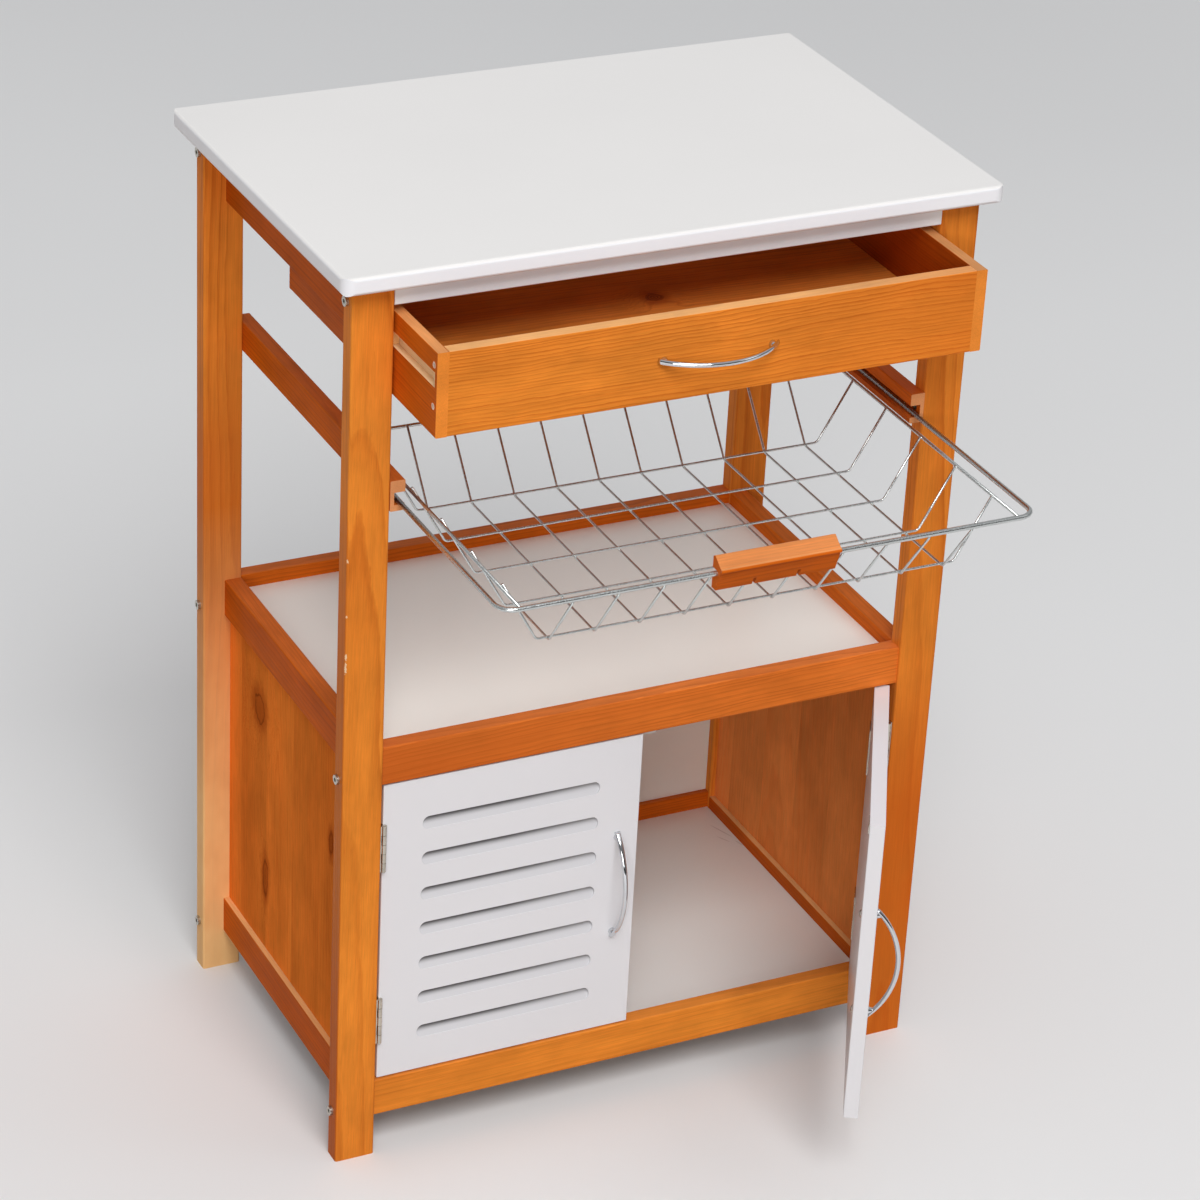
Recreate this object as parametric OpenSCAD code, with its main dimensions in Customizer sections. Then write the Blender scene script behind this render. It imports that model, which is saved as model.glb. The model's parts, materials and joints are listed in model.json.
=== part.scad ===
// Kitchen trolley in pine and white board: worktop, drawer, sliding wire basket and a cabinet with two doors.
// The origin is on the floor under the middle of the carcass. X is to the right, Y to the back, Z up.

/* [Overall] */
// Width over the outer faces of the legs
carcass_w = 560; // [520:1:640]
// Depth from the front face of the front legs to the back face of the back legs
carcass_d = 342; // [330:1:400]
// Height of the worktop's surface above the floor
height = 840; // [820:1:900]

/* [Worktop] */
// Thickness of the worktop
top_t = 15; // [12:1:22]
// Overhang of the worktop at each side
top_side_over = 14; // [5:1:40]
// Overhang of the worktop at the front
top_front_over = 17; // [5:1:40]
// Overhang of the worktop at the back
top_back_over = 23; // [5:1:40]
// Radius of the worktop's corners, seen from above
top_corner_r = 10; // [4:1:30]
// Rounding along the worktop's edges
top_edge_r = 3; // [1:0.5:5]

/* [Legs] */
// Width of a leg across the front
leg_w = 36; // [32:1:50]
// Thickness of a leg from front to back
leg_t = 18; // [16:1:24]
// Rounding along a leg's edges
leg_edge_r = 2; // [0.5:0.5:4]

/* [Rails] */
// Height of the front, back and side rails round the shelves
rail_h = 36; // [32:1:44]
// Thickness of the front and back rails
rail_t = 15; // [14:1:18]
// Thickness of the side rails
side_rail_t = 16; // [14:1:20]
// How far the front rails stand back from the legs' front face
rail_recess = 3; // [0.5:0.5:3]
// Rounding along a rail's edges
rail_edge_r = 1.5; // [0.5:0.5:2]
// Height of the rails under the worktop at the sides and back
top_rail_h = 59; // [54:1:64]
// Height of the white apron under the front of the worktop
apron_h = 20; // [17:1:26]
// Thickness of the apron
apron_t = 16; // [14:1:18]
// Height of the middle rails' top edge above the floor
mid_rail_top = 406; // [380:1:440]
// Height of the low rails' top edge above the floor
low_rail_top = 74; // [60:1:100]
// How much higher the low back rail sits
low_back_lift = 4; // [0:1:6]

/* [Shelves and panels] */
// Thickness of the two shelves
shelf_t = 12; // [9:1:15]
// How far a shelf lies below its rails' top edge
shelf_drop = 13; // [12:1:15]
// How far a shelf's edge reaches into the groove of a rail
shelf_tongue = 3; // [2:0.5:3]
// Thickness of the side panels
side_panel_t = 5; // [4:0.5:6]
// Distance from a side rail's outer face to the side panel
side_panel_inset = 5.5; // [4:0.5:7]
// How far the panels reach into the rails
panel_tongue = 3.5; // [2.5:0.5:3.5]
// Thickness of the back panel
back_panel_t = 3; // [2:0.5:4]
// Distance from the back rails' inner face to the back panel
back_panel_inset = 6; // [4:0.5:8]

/* [Drawer] */
// How far the drawer stands open
drawer_out = 80; // [0:1:200]
// Height of the drawer's front and sides
drawer_h = 72; // [66:1:80]
// Length of the drawer from front to back
drawer_d = 303; // [280:1:315]
// Thickness of the drawer's front
drawer_front_t = 12; // [11:0.5:15]
// Thickness of the drawer's sides
drawer_side_t = 10; // [9:0.5:12]
// Thickness of the drawer's back
drawer_back_t = 10; // [9:0.5:12]
// Thickness of the drawer's bottom board
drawer_bottom_t = 5; // [3:0.5:6]
// Height of the bottom board's underside above the drawer's lower edge
drawer_bottom_up = 11; // [6:0.5:14]
// Gap between the apron and the drawer
drawer_head_gap = 6.5; // [3:0.5:10]
// Gap between the drawer's side and the leg
drawer_side_gap = 1.5; // [1:0.1:2.5]
// Distance from the drawer's top edge down to the groove in its side
drawer_groove_down = 18; // [16:0.5:22]
// Height of the groove in the drawer's side
drawer_groove_h = 12; // [8:0.5:14]
// Depth of the groove in the drawer's side
drawer_groove_deep = 6; // [4:0.5:6]
// Distance from the drawer's front to the blind end of the groove
drawer_groove_stop = 6; // [4:0.5:8]

/* [Basket] */
// How far the basket stands open
basket_out = 190; // [0:1:250]
// Gap between the drawer and the basket runners below it
runner_gap = 74; // [60:1:90]
// Height of a basket runner
runner_h = 27; // [24:0.5:32]
// Width of a basket runner
runner_w = 13; // [12:0.5:16]
// Height of the groove's floor above the runner's underside
runner_groove_up = 5.4; // [4:0.1:7]
// Height of the groove in a runner
runner_groove_h = 11; // [8:0.5:14]
// Depth of the groove in a runner
runner_groove_deep = 9.5; // [8:0.5:10]
// Length of solid wood behind the groove's blind end
runner_stop = 20; // [12:1:30]
// Diameter of the rod that slides in the runners
rod_d = 4.4; // [3.5:0.1:5]
// Radius of the rod's front corners
rod_bend_r = 14; // [10:1:20]
// Gap between the rod's side and the groove's back wall
rod_side_gap = 2.3; // [1:0.1:4]
// Distance from the front rod to the rod's back ends
rod_len = 328; // [300:1:335]
// How far the front rod stands in front of the legs when the basket is closed
basket_front_gap = 8; // [6:1:12]
// Diameter of the basket's rim wire
rim_d = 3; // [2.5:0.1:4]
// Distance from the sliding rod in to the rim wire
rim_inset = 16; // [12:1:24]
// Distance from the front rod to the rim wire at the back
rim_len = 324; // [290:1:326]
// Diameter of the mesh wires
wire_d = 2; // [1.5:0.1:3]
// Radius of the bends in the mesh wires
wire_bend_r = 5; // [3:0.5:8]
// Depth of the basket, rim to bottom
basket_drop = 54.4; // [40:0.2:90]
// Run of the basket's front wall from rod to bottom
front_run = 38; // [20:1:60]
// Run of the basket's back wall from rim to bottom
back_run = 49; // [20:1:70]
// Run of the basket's side walls from rim to bottom
side_run = 33; // [15:1:60]
// Number of wires that run from front to back
long_count = 10; // [4:1:14]
// Spacing of the wires that run from front to back
long_pitch = 39.2; // [20:0.2:40]
// Number of wires that run from side to side
cross_count = 5; // [2:1:8]
// Spacing of the wires that run from side to side
cross_pitch = 58.5; // [20:0.5:58.5]
// Length of the wooden grip
grip_w = 106; // [80:1:106]
// Height of the grip above the rod's centre
grip_up = 13.5; // [10:0.5:18]
// Height of the grip below the rod's centre
grip_down = 15.5; // [10:0.5:18]
// Reach of the grip in front of the rod's centre
grip_front = 8.5; // [7:0.5:14]
// Reach of the grip behind the rod's centre
grip_back = 7; // [5:0.5:9]

/* [Doors] */
// How far the right door stands open, in degrees
right_open = 60; // [0:1:160]
// How far the left door stands open, in degrees
left_open = 0; // [0:1:160]
// Thickness of a door
door_t = 13; // [12:0.5:15]
// How far the doors' face stands back from the legs' front face
door_recess = 5; // [5:0.5:8]
// Gap between a door and its leg
door_side_gap = 3.2; // [3:0.1:4]
// Gap where the doors meet
door_meet_gap = 2; // [1.6:0.1:4]
// Gap between the doors and the rail above
door_top_gap = 1.6; // [1:0.1:3]
// Gap between the doors and the rail below
door_bottom_gap = 1.7; // [1:0.1:3]
// Number of louvre grooves in a door
slot_count = 7; // [1:1:8]
// Spacing of the grooves
slot_pitch = 35; // [20:0.5:36]
// Distance from a door's top edge to the first groove
slot_first_down = 39; // [30:1:60]
// Distance from a door's free edge to the grooves
slot_inset = 39; // [34:1:50]
// Length of a groove
slot_len = 164.5; // [100:0.5:170]
// Height of a groove on the door's face
slot_h = 12; // [8:0.5:16]
// Slope of a groove's floor in degrees
slot_tilt = 19; // [10:1:22]

/* [Handles] */
// Length of a bow handle over its ends
handle_len = 112; // [90:1:130]
// Distance between a handle's screws
handle_pitch = 96; // [76:1:96]
// Reach of a handle in front of its board
handle_reach = 24; // [20:1:32]
// Diameter of a handle's bow
handle_d = 4.6; // [4.5:0.1:7]
// Diameter of a handle's feet
handle_foot_d = 7; // [6:0.5:9]
// Distance from a door's free edge to its handle
handle_inset = 20; // [12:1:28]
// Diameter of a handle screw
handle_screw_d = 4; // [3:0.5:4]
// How deep a handle screw goes into the foot
handle_screw_in = 5; // [4:0.5:6]

/* [Hinges] */
// Height of a hinge
hinge_h = 45; // [40:1:60]
// Distance from a door's end to the middle of its hinge
hinge_end = 60; // [45:1:90]
// Diameter of a knuckle
knuckle_d = 4.4; // [4:0.1:4.8]
// Diameter of a hinge pin
pin_d = 2; // [1.5:0.1:2.4]
// Thickness of a hinge leaf
leaf_t = 1; // [0.8:0.1:1.2]
// Width of the hinge leaf on the leg
leaf_w = 13.5; // [12:0.5:14]
// Width of the leaf on the back of the door
wrap_w = 18; // [16:0.5:24]
// Distance between the screws of a leaf
leaf_screw_pitch = 24; // [20:1:30]
// Distance from the back of the closed door to the screws in the leg
leaf_screw_in = 6; // [5:0.5:7]

/* [Catch] */
// Width of the magnetic catch
catch_w = 40; // [34:1:50]
// Depth of the catch from front to back
catch_d = 14; // [11:1:20]
// Height of the catch
catch_h = 23; // [21:1:26]
// Reach of the catch's screw ears at each side
catch_ear = 8; // [7:0.5:12]
// Thickness of the catch's screw ears
catch_ear_t = 2.5; // [2:0.5:4]
// Width of a pole plate of the catch
pole_w = 14; // [10:1:16]
// Depth of a pole plate in the catch
pole_d = 11; // [8:0.5:12]
// Thickness of a pole plate
pole_t = 1.2; // [1:0.1:1.6]
// Distance between the two pole plates of a magnet
pole_pitch = 4.4; // [3.5:0.1:5]
// Gap between the catch and a strike plate
catch_gap = 0.5; // [0.4:0.1:1]
// Thickness of a strike plate
strike_t = 1; // [0.8:0.1:1.2]
// Width of a strike plate
strike_w = 16; // [12:1:17]
// Height of a strike plate
strike_h = 8; // [7:0.5:8]
// Distance from a door's free edge to its strike plate
strike_inset = 2; // [1:0.5:4]
// Distance from a door's top edge to its strike plate
strike_down = 1; // [0.5:0.5:2]

/* [Fasteners] */
// Diameter of the bolts through the legs
bolt_d = 5; // [4:0.5:5]
// Length of a bolt under its head
bolt_len = 60; // [54:1:70]
// Diameter of a bolt's head
bolt_head_d = 8.6; // [7.5:0.1:10]
// Height of a bolt's head
bolt_head_h = 2.6; // [2.4:0.1:4]
// Width of the hexagon socket across its flats
bolt_socket = 3.5; // [2.5:0.5:4]
// Height of the rail bolts above a rail's underside
bolt_up = 10; // [9:0.5:12]
// Height of the top bolts above the apron's underside
top_bolt_up = 5; // [5:0.5:8]
// Diameter of a barrel nut
nut_d = 8; // [7.5:0.5:8]
// Length of a barrel nut
nut_len = 10; // [9:0.5:10]
// Distance from a rail's end to its barrel nut
nut_in = 15; // [12:1:17]
// Diameter of a dowel
dowel_d = 6; // [5:0.5:6]
// Depth of a dowel in a leg
dowel_leg = 12; // [8:1:12]
// Depth of a dowel in a rail
dowel_rail = 18; // [12:1:25]
// Length of an angle bracket's sides
bracket_l = 18; // [15:1:18]
// Width of an angle bracket
bracket_w = 15; // [12:1:20]
// Thickness of an angle bracket
bracket_t = 1.5; // [1:0.1:2]
// Distance from the middle of the carcass to the brackets
bracket_y = 90; // [60:1:110]
// Distance from a bracket's corner to its screws
bracket_screw_in = 11; // [9:0.5:12]

/* [Fits] */
// Running gap between sliding wood or wire and its guide
slide_gap = 0.3; // [0.2:0.05:0.5]
// Gap round a board that lies in a groove
board_gap = 0.1; // [0.05:0.05:0.3]
// Gap round a screw, bolt or dowel in its hole
hole_gap = 0.1; // [0.05:0.05:0.2]
// Gap round a hinge pin
pin_gap = 0.05; // [0.02:0.01:0.1]
// Gap between the knuckles of a hinge
knuckle_gap = 0.3; // [0.2:0.05:0.5]
// Gap between a hinge's knuckles and the plane of the door's face
knuckle_face_gap = 0.1; // [0.05:0.05:0.3]
// How far welded wires sink into each other
weld = 0.2; // [0.1:0.05:0.3]

/* [Hidden] */

$fn = 48;
pine = [0.80, 0.46, 0.17];
pine_light = [0.86, 0.60, 0.33];
white_board = [0.92, 0.91, 0.89];
chrome = [0.80, 0.81, 0.83];
nickel = [0.70, 0.69, 0.66];
beech = [0.85, 0.70, 0.50];
white_plastic = [0.95, 0.95, 0.94];

// A cut reaches this far past the face that it opens
past = 1;

// Main planes of the carcass
leg_out = carcass_w / 2;
leg_in = leg_out - leg_w;
front = -carcass_d / 2;
back = carcass_d / 2;
rail_front = front + rail_recess;
bay_front = front + leg_t;
bay_back = back - leg_t;
rail_back_in = back - rail_t;
bay_d = bay_back - bay_front;
under_top = height - top_t;
mid_rail_z = mid_rail_top - rail_h;
low_rail_z = low_rail_top - rail_h;
mid_shelf_z = mid_rail_top - shelf_drop - shelf_t;
low_shelf_z = low_rail_top - shelf_drop - shelf_t;

// Bolts stand in the middle of each rail's thickness
bolt_front_y = rail_front + rail_t / 2;
bolt_back_y = back - rail_t / 2;
bolt_zs = [low_rail_z + bolt_up, mid_rail_z + bolt_up, under_top - apron_h + top_bolt_up];
nut_r = nut_d / 2;

// Dowels join the side rails to the legs, clear of the bolts and the panel grooves
hole_wall = 2.5;
dowel_x = leg_in + side_rail_t / 2;
dowel_clear = dowel_d / 2 + bolt_d / 2 + hole_wall;
dowel_step = dowel_d + hole_wall;
rail_dowel_zs = [bolt_up + dowel_clear, bolt_up + dowel_clear + dowel_step];
dowel_l = dowel_leg + dowel_rail;
top_rail_z = under_top - top_rail_h;
top_dowel_zs = [top_rail_h / 4, top_rail_h / 2];

// Inner face of the front rails, side panels and back panel
bay_rail_in = rail_front + rail_t;
side_panel_x = leg_in + side_rail_t - side_panel_inset - side_panel_t;
back_panel_y = rail_back_in + back_panel_inset;

// Drawer, in its closed place
drawer_top = under_top - apron_h - drawer_head_gap;
drawer_z = drawer_top - drawer_h;
drawer_x = leg_in - drawer_side_gap;
drawer_in_x = drawer_x - drawer_side_t;
drawer_groove_z = drawer_top - drawer_groove_down - drawer_groove_h;
drawer_mid_z = drawer_z + drawer_h / 2;
drawer_tongue = 4;
drawer_bottom_z = drawer_z + drawer_bottom_up;
side_screw_zs = [drawer_z + 25, drawer_top - 12];

// Runner strip in the drawer's groove
strip_x = drawer_x - drawer_groove_deep + slide_gap;
strip_z = drawer_groove_z + slide_gap;
strip_h = drawer_groove_h - 2 * slide_gap;
strip_front = front + drawer_groove_stop + 2 * slide_gap;
strip_back = rail_back_in - slide_gap;
strip_screw_ys = [front + 12, bay_back - 24];

// Basket, in its closed place
runner_up = drawer_z - runner_gap - runner_h;
runner_x = leg_in - runner_w;
groove_wall_x = runner_x + runner_groove_deep;
groove_z = runner_up + runner_groove_up;
rod_x = groove_wall_x - rod_side_gap - rod_d / 2;
rod_z = groove_z + slide_gap + rod_d / 2;
rod_y = front - basket_front_gap;
rim_x = rod_x - rim_inset;
rim_y = rod_y + rim_len;
rim_bend_r = rod_bend_r;
floor_z = rod_z - basket_drop;
floor_front = rod_y + front_run;
floor_back = rim_y - back_run;
floor_x = rim_x - side_run;
wire_under_rod = (rod_d + wire_d) / 2 - weld;
wire_in_rim = (rim_d + wire_d) / 2 - weld;
cross_z = floor_z + wire_d - weld;

// Doors, hinges and catch, on the right side with the door closed
door_front = front + door_recess;
door_back = door_front + door_t;
door_edge = leg_in - door_side_gap;
door_free = door_meet_gap / 2;
door_z = low_rail_top + door_bottom_gap;
door_top = mid_rail_z - door_top_gap;
door_mid_z = (door_z + door_top) / 2;
knuckle_r = knuckle_d / 2;
pin_x = door_edge - slide_gap;
pin_y = door_front - knuckle_r - knuckle_face_gap;
hinge_zs = [door_z + hinge_end, door_top - hinge_end];
knuckle_step = hinge_h / 5;
leaf_web = 1;
leaf_screw_y = door_back - leaf_screw_in;
wrap_screw_x = door_edge + leaf_t - wrap_w / 2;
handle_x = door_free + handle_inset;
slot_r = slot_h / 2;
slot_first_z = door_top - slot_first_down - slot_h;
catch_y = door_back + strike_t + catch_gap;
catch_z = mid_shelf_z - catch_h;
strike_x = door_free + strike_inset;
strike_z = door_top - strike_down - strike_h;
pole_x = strike_x + strike_w / 2;
pole_z = strike_z + strike_h / 2;
pole_proud = 0.2;

// Bow of a handle: radius of its outside, of its middle line, and how far its centre lies behind the board
bow_out_r = (handle_len * handle_len / 4 + handle_reach * handle_reach) / (2 * handle_reach);
bow_r = bow_out_r - handle_d / 2;
bow_c = bow_out_r - handle_reach;
bow_sweep = 120;

// Screws for wood: head diameter, shank diameter, head height, length of the cross recess
big_screw = [6.8, 3.6, 2.2, 3.8];
small_screw = [5.6, 2.8, 1.6, 3.2];
recess_w = 0.8;
recess_deep = 1.1;

// Screw lengths
runner_screw_l = 19;
runner_back_screw_l = 28;
strip_screw_l = 18;
leaf_screw_l = 14;
bracket_screw_l = 12;
catch_screw_l = 11;
side_screw_l = 34;
wrap_screw_l = 11;
strike_screw_l = 10;

// Handle screw: head diameter, shank diameter, dome height, and the room left at its tip
handle_screw = [8, handle_screw_d, 1.8];
handle_screw_free = 0.5;
bolt_socket_floor = 0.8;

// Rounding along the edges of thin boards and strips, and of plastic pieces
board_r = 1;
plastic_r = 2;

// Wire bends are a little thicker than the wire, lap past it, and the wire sinks into them
bend_bulge = 0.1;
bend_lap = 3;
bend_sink = 0.2;

// Grip's section: rounded nose, back of the sloping top, lower lip and the hollow of the lower face
nose_r = 2;
nose_low = 2.5;
nose_high = 6;
slope_back = 4;
slope_fall = 1.5;
lip = 0.5;
cove_r = 26;
cove_in = 3.4;
cove_up = 2;

// Rectangle from the origin with round corners
module round_rect(w, h, r) {
    translate([r, 0]) square([w - 2 * r, h]);
    translate([0, r]) square([w, h - 2 * r]);
    for (x = [r, w - r], y = [r, h - r]) translate([x, y]) circle(r);
}

// Bars with rounded long edges, along X, Y and Z
module bar_x(l, d, h, r) rotate([90, 0, 90]) linear_extrude(l) round_rect(d, h, r);
module bar_y(w, l, h, r) translate([0, l, 0]) rotate([90, 0, 0]) linear_extrude(l) round_rect(w, h, r);
module bar_z(w, d, l, r) linear_extrude(l) round_rect(w, d, r);

// Copy on the left of what is drawn on the right
module left() mirror([1, 0, 0]) children();
module both() {
    children();
    mirror([1, 0, 0]) children();
}

// Hole of a countersunk screw, along +Z with the top of its head at the origin
module screw_hole(kind, l, gap = hole_gap) {
    translate([0, 0, -gap]) cylinder(d1 = kind[0] + 2 * gap, d2 = kind[1] + 2 * gap, h = kind[2] + gap);
    cylinder(d = kind[1] + 2 * gap, h = l + 5 * gap);
}

// Countersunk screw with a cross recess
module screw(kind, l) difference() {
    screw_hole(kind, l, 0);
    for (a = [0, 90]) rotate([0, 0, a]) translate([-kind[3] / 2, -recess_w / 2, -past])
        cube([kind[3], recess_w, recess_deep + past]);
}

// Screw with a slotted dome that stands on the surface at the origin
module domed_screw(kind, l) {
    dome_r = (kind[0] * kind[0] / 4 + kind[2] * kind[2]) / (2 * kind[2]);
    difference() {
        intersection() {
            translate([0, 0, dome_r - kind[2]]) sphere(dome_r);
            translate([0, 0, -kind[2]]) cylinder(d = kind[0], h = kind[2]);
        }
        translate([-kind[0], -recess_w / 2, -kind[2] - past])
            cube([2 * kind[0], recess_w, recess_deep + past]);
    }
    cylinder(d = kind[1], h = l);
}

module toward_right() rotate([0, 90, 0]) children();

// Straight piece of round wire between two points
module wire(p, q, d) {
    v = q - p;
    l = norm(v);
    translate(p) rotate([0, acos(v[2] / l), atan2(v[1], v[0])]) cylinder(d = d, h = l);
}

// Round wire in the plane XY through a list of points, bent with radius r; a bend bulges a little
function heading(p, q) = atan2(q[1] - p[1], q[0] - p[0]);
function turn(a, b) = b - a > 180 ? b - a - 360 : b - a < -180 ? b - a + 360 : b - a;
function bend_turn(points, i) = i == 0 || i == len(points) - 1 ? 0 :
    turn(heading(points[i - 1], points[i]), heading(points[i], points[i + 1]));
module bent_wire(points, d, r) {
    trims = [for (i = [0 : len(points) - 1]) r * tan(abs(bend_turn(points, i)) / 2)];
    for (i = [0 : len(points) - 2]) {
        l = norm(points[i + 1] - points[i]) - trims[i] - trims[i + 1];
        bend = bend_turn(points, i + 1);
        side = bend > 0 ? 1 : -1;
        sink_a = i > 0 ? bend_sink : 0;
        sink_b = bend != 0 ? bend_sink : 0;
        translate(points[i]) rotate([0, 0, heading(points[i], points[i + 1])]) translate([trims[i], 0]) {
            translate([-sink_a, 0]) toward_right() cylinder(d = d, h = l + sink_a + sink_b);
            if (bend != 0) translate([l, side * r]) rotate([0, 0, (bend > 0 ? -90 : 90 + bend) - bend_lap])
                rotate_extrude(angle = abs(bend) + 2 * bend_lap) translate([r, 0]) circle(d = d + bend_bulge);
        }
    }
}

// Quarter bend of round wire in a level plane, centred at c
module level_bend(c, r, d, from) translate(c) rotate([0, 0, from]) rotate_extrude(angle = 90)
    translate([r, 0]) circle(d = d);

// Places of the fasteners, on the right side of the carcass
module at_bolts() for (z = bolt_zs, y = [bolt_front_y, bolt_back_y]) translate([leg_out, y, z]) children();
module at_bolts_in(y, z) for (s = [-1, 1]) translate([s * (leg_in - nut_in), y, z]) children();
module at_dowels(base, zs) for (z = zs, y = [bay_front, bay_back])
    translate([dowel_x, y, base + z]) children();
module at_side_dowels() {
    at_dowels(low_rail_z, rail_dowel_zs) children();
    at_dowels(mid_rail_z, rail_dowel_zs) children();
    at_dowels(top_rail_z, top_dowel_zs) children();
}
module at_strip_screws() for (y = strip_screw_ys)
    translate([strip_x, y, strip_z + strip_h / 2]) toward_right() children();
module at_runner_front_screw() translate([groove_wall_x, front + leg_t / 2, groove_z + runner_groove_h / 2])
    toward_right() children();
module at_runner_back_screw() translate([runner_x, back - leg_t / 2, groove_z + runner_groove_h / 2])
    toward_right() children();
module at_leaf_screws() for (z = hinge_zs, s = [-1, 1])
    translate([leg_in - leaf_t, leaf_screw_y, z + s * leaf_screw_pitch / 2]) toward_right() children();
module at_bracket_side_screws() for (s = [-1, 1])
    translate([leg_in - bracket_t, s * bracket_y, under_top - bracket_screw_in]) toward_right() children();
module at_bracket_top_screws() for (s = [-1, 1])
    translate([leg_in - bracket_screw_in, s * bracket_y, under_top - bracket_t]) children();
module at_catch_screws() for (s = [-1, 1])
    translate([s * (catch_w + catch_ear) / 2, catch_y + catch_d / 2, mid_shelf_z - catch_ear_t]) children();

// Worktop with rolled edges and rounded corners
module worktop() {
    w = carcass_w + 2 * top_side_over;
    d = carcass_d + top_front_over + top_back_over;
    color(white_board) translate([-w / 2, front - top_front_over, under_top]) difference() {
        intersection() {
            bar_z(w, d, top_t, top_corner_r);
            bar_x(w, d, top_t, top_edge_r);
            bar_y(w, d, top_t, top_edge_r);
        }
        translate([w / 2, top_front_over - front, -under_top]) both() at_bracket_top_screws()
            screw_hole(small_screw, bracket_screw_l);
    }
}

// Bolt and barrel nut holes in the ends of a front or back rail
module bolt_bores(y, z, under) {
    for (s = [0, 1]) mirror([s, 0, 0]) translate([leg_in - past - bolt_len + leg_w, y, z])
        toward_right() cylinder(d = bolt_d + 2 * hole_gap, h = bolt_len - leg_w + 2 * past);
    at_bolts_in(y, z) translate([0, 0, under - z - past]) cylinder(r = nut_r + hole_gap,
        h = z - under + past + nut_len / 2);
}

module front_apron() color(white_board) difference() {
    translate([-leg_in, front, under_top - apron_h]) bar_x(2 * leg_in, apron_t, apron_h, rail_edge_r);
    bolt_bores(bolt_front_y, bolt_zs[2], under_top - apron_h);
}

module back_apron() color(pine) difference() {
    translate([-leg_in, rail_back_in, top_rail_z]) bar_x(2 * leg_in, rail_t, top_rail_h, rail_edge_r);
    bolt_bores(bolt_back_y, bolt_zs[2], bolt_zs[2] - nut_len / 2);
}

// Leg on the right: front is 1 for a front leg and 0 for a back leg
module leg(is_front) difference() {
    translate([leg_in, is_front ? front : bay_back, 0]) bar_z(leg_w, leg_t, under_top, leg_edge_r);
    for (z = bolt_zs) translate([leg_in - past, is_front ? bolt_front_y : bolt_back_y, z])
        toward_right() cylinder(d = bolt_d + 2 * hole_gap, h = leg_w + 2 * past);
    at_side_dowels() rotate([90, 0, 0])
        cylinder(d = dowel_d + 2 * hole_gap, h = 2 * (dowel_leg + hole_gap), center = true);
    at_strip_screws() screw_hole(big_screw, strip_screw_l);
    at_runner_front_screw() screw_hole(big_screw, runner_screw_l);
    at_runner_back_screw() screw_hole(big_screw, runner_back_screw_l);
    if (is_front) at_leaf_screws() screw_hole(small_screw, leaf_screw_l);
}

module leg_front_left() color(pine) left() leg(true);
module leg_front_right() color(pine) leg(true);
module leg_back_left() color(pine) left() leg(false);
module leg_back_right() color(pine) leg(false);

// Dowel holes in a side rail's ends
module dowel_bores(base, zs) at_dowels(base, zs) rotate([90, 0, 0])
    cylinder(d = dowel_d + 2 * hole_gap, h = 2 * (dowel_rail + hole_gap), center = true);

module top_rail() difference() {
    translate([leg_in, bay_front, top_rail_z]) bar_y(side_rail_t, bay_d, top_rail_h, rail_edge_r);
    dowel_bores(top_rail_z, top_dowel_zs);
    at_strip_screws() screw_hole(big_screw, strip_screw_l);
    at_bracket_side_screws() screw_hole(small_screw, bracket_screw_l);
}

module top_rail_left() color(pine) left() top_rail();
module top_rail_right() color(pine) top_rail();

// Space that a shelf and its gap take, with its tongues
module shelf_space(z, gap) translate([0, 0, z - gap]) linear_extrude(shelf_t + 2 * gap) {
    translate([-leg_in - shelf_tongue - gap, bay_front + board_gap - gap])
        square([2 * (leg_in + shelf_tongue + gap), bay_d - 2 * board_gap + 2 * gap]);
    translate([-leg_in + board_gap - gap, bay_rail_in - shelf_tongue - gap])
        square([2 * (leg_in - board_gap + gap), rail_back_in - bay_rail_in + 2 * (shelf_tongue + gap)]);
}

// Space that the side panels and their gap take
module side_panel_space(gap) translate([side_panel_x - gap, bay_front, low_rail_top - panel_tongue - gap])
    cube([side_panel_t + 2 * gap, bay_d, mid_rail_z - low_rail_top + 2 * (panel_tongue + gap)]);

// Space that the back panel and its gap take
module back_panel_space(gap) translate([-leg_in + board_gap - gap, back_panel_y - gap,
        low_rail_top + low_back_lift - panel_tongue - gap])
    cube([2 * (leg_in - board_gap + gap), back_panel_t + 2 * gap,
        mid_rail_z - low_rail_top - low_back_lift + 2 * (panel_tongue + gap)]);

// Front and back rails carry the bolts and the shelf's groove, the back ones the back panel too
module front_rail(z, shelf_z) difference() {
    translate([-leg_in, rail_front, z]) bar_x(2 * leg_in, rail_t, rail_h, rail_edge_r);
    bolt_bores(bolt_front_y, z + bolt_up, z);
    shelf_space(shelf_z, board_gap);
}

module back_rail(z, bolt_z, shelf_z) difference() {
    translate([-leg_in, rail_back_in, z]) bar_x(2 * leg_in, rail_t, rail_h, rail_edge_r);
    bolt_bores(bolt_back_y, bolt_z, z);
    shelf_space(shelf_z, board_gap);
    back_panel_space(board_gap);
}

module side_rail(z, shelf_z) difference() {
    translate([leg_in, bay_front, z]) bar_y(side_rail_t, bay_d, rail_h, rail_edge_r);
    dowel_bores(z, rail_dowel_zs);
    shelf_space(shelf_z, board_gap);
    side_panel_space(board_gap);
}

module mid_rail_front() color(pine) front_rail(mid_rail_z, mid_shelf_z);
module mid_rail_back() color(pine) back_rail(mid_rail_z, mid_rail_z + bolt_up, mid_shelf_z);
module mid_rail_left() color(pine) left() side_rail(mid_rail_z, mid_shelf_z);
module mid_rail_right() color(pine) side_rail(mid_rail_z, mid_shelf_z);
module low_rail_front() color(pine) front_rail(low_rail_z, low_shelf_z);
module low_rail_back() color(pine) back_rail(low_rail_z + low_back_lift, low_rail_z + bolt_up, low_shelf_z);
module low_rail_left() color(pine) left() side_rail(low_rail_z, low_shelf_z);
module low_rail_right() color(pine) side_rail(low_rail_z, low_shelf_z);

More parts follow.
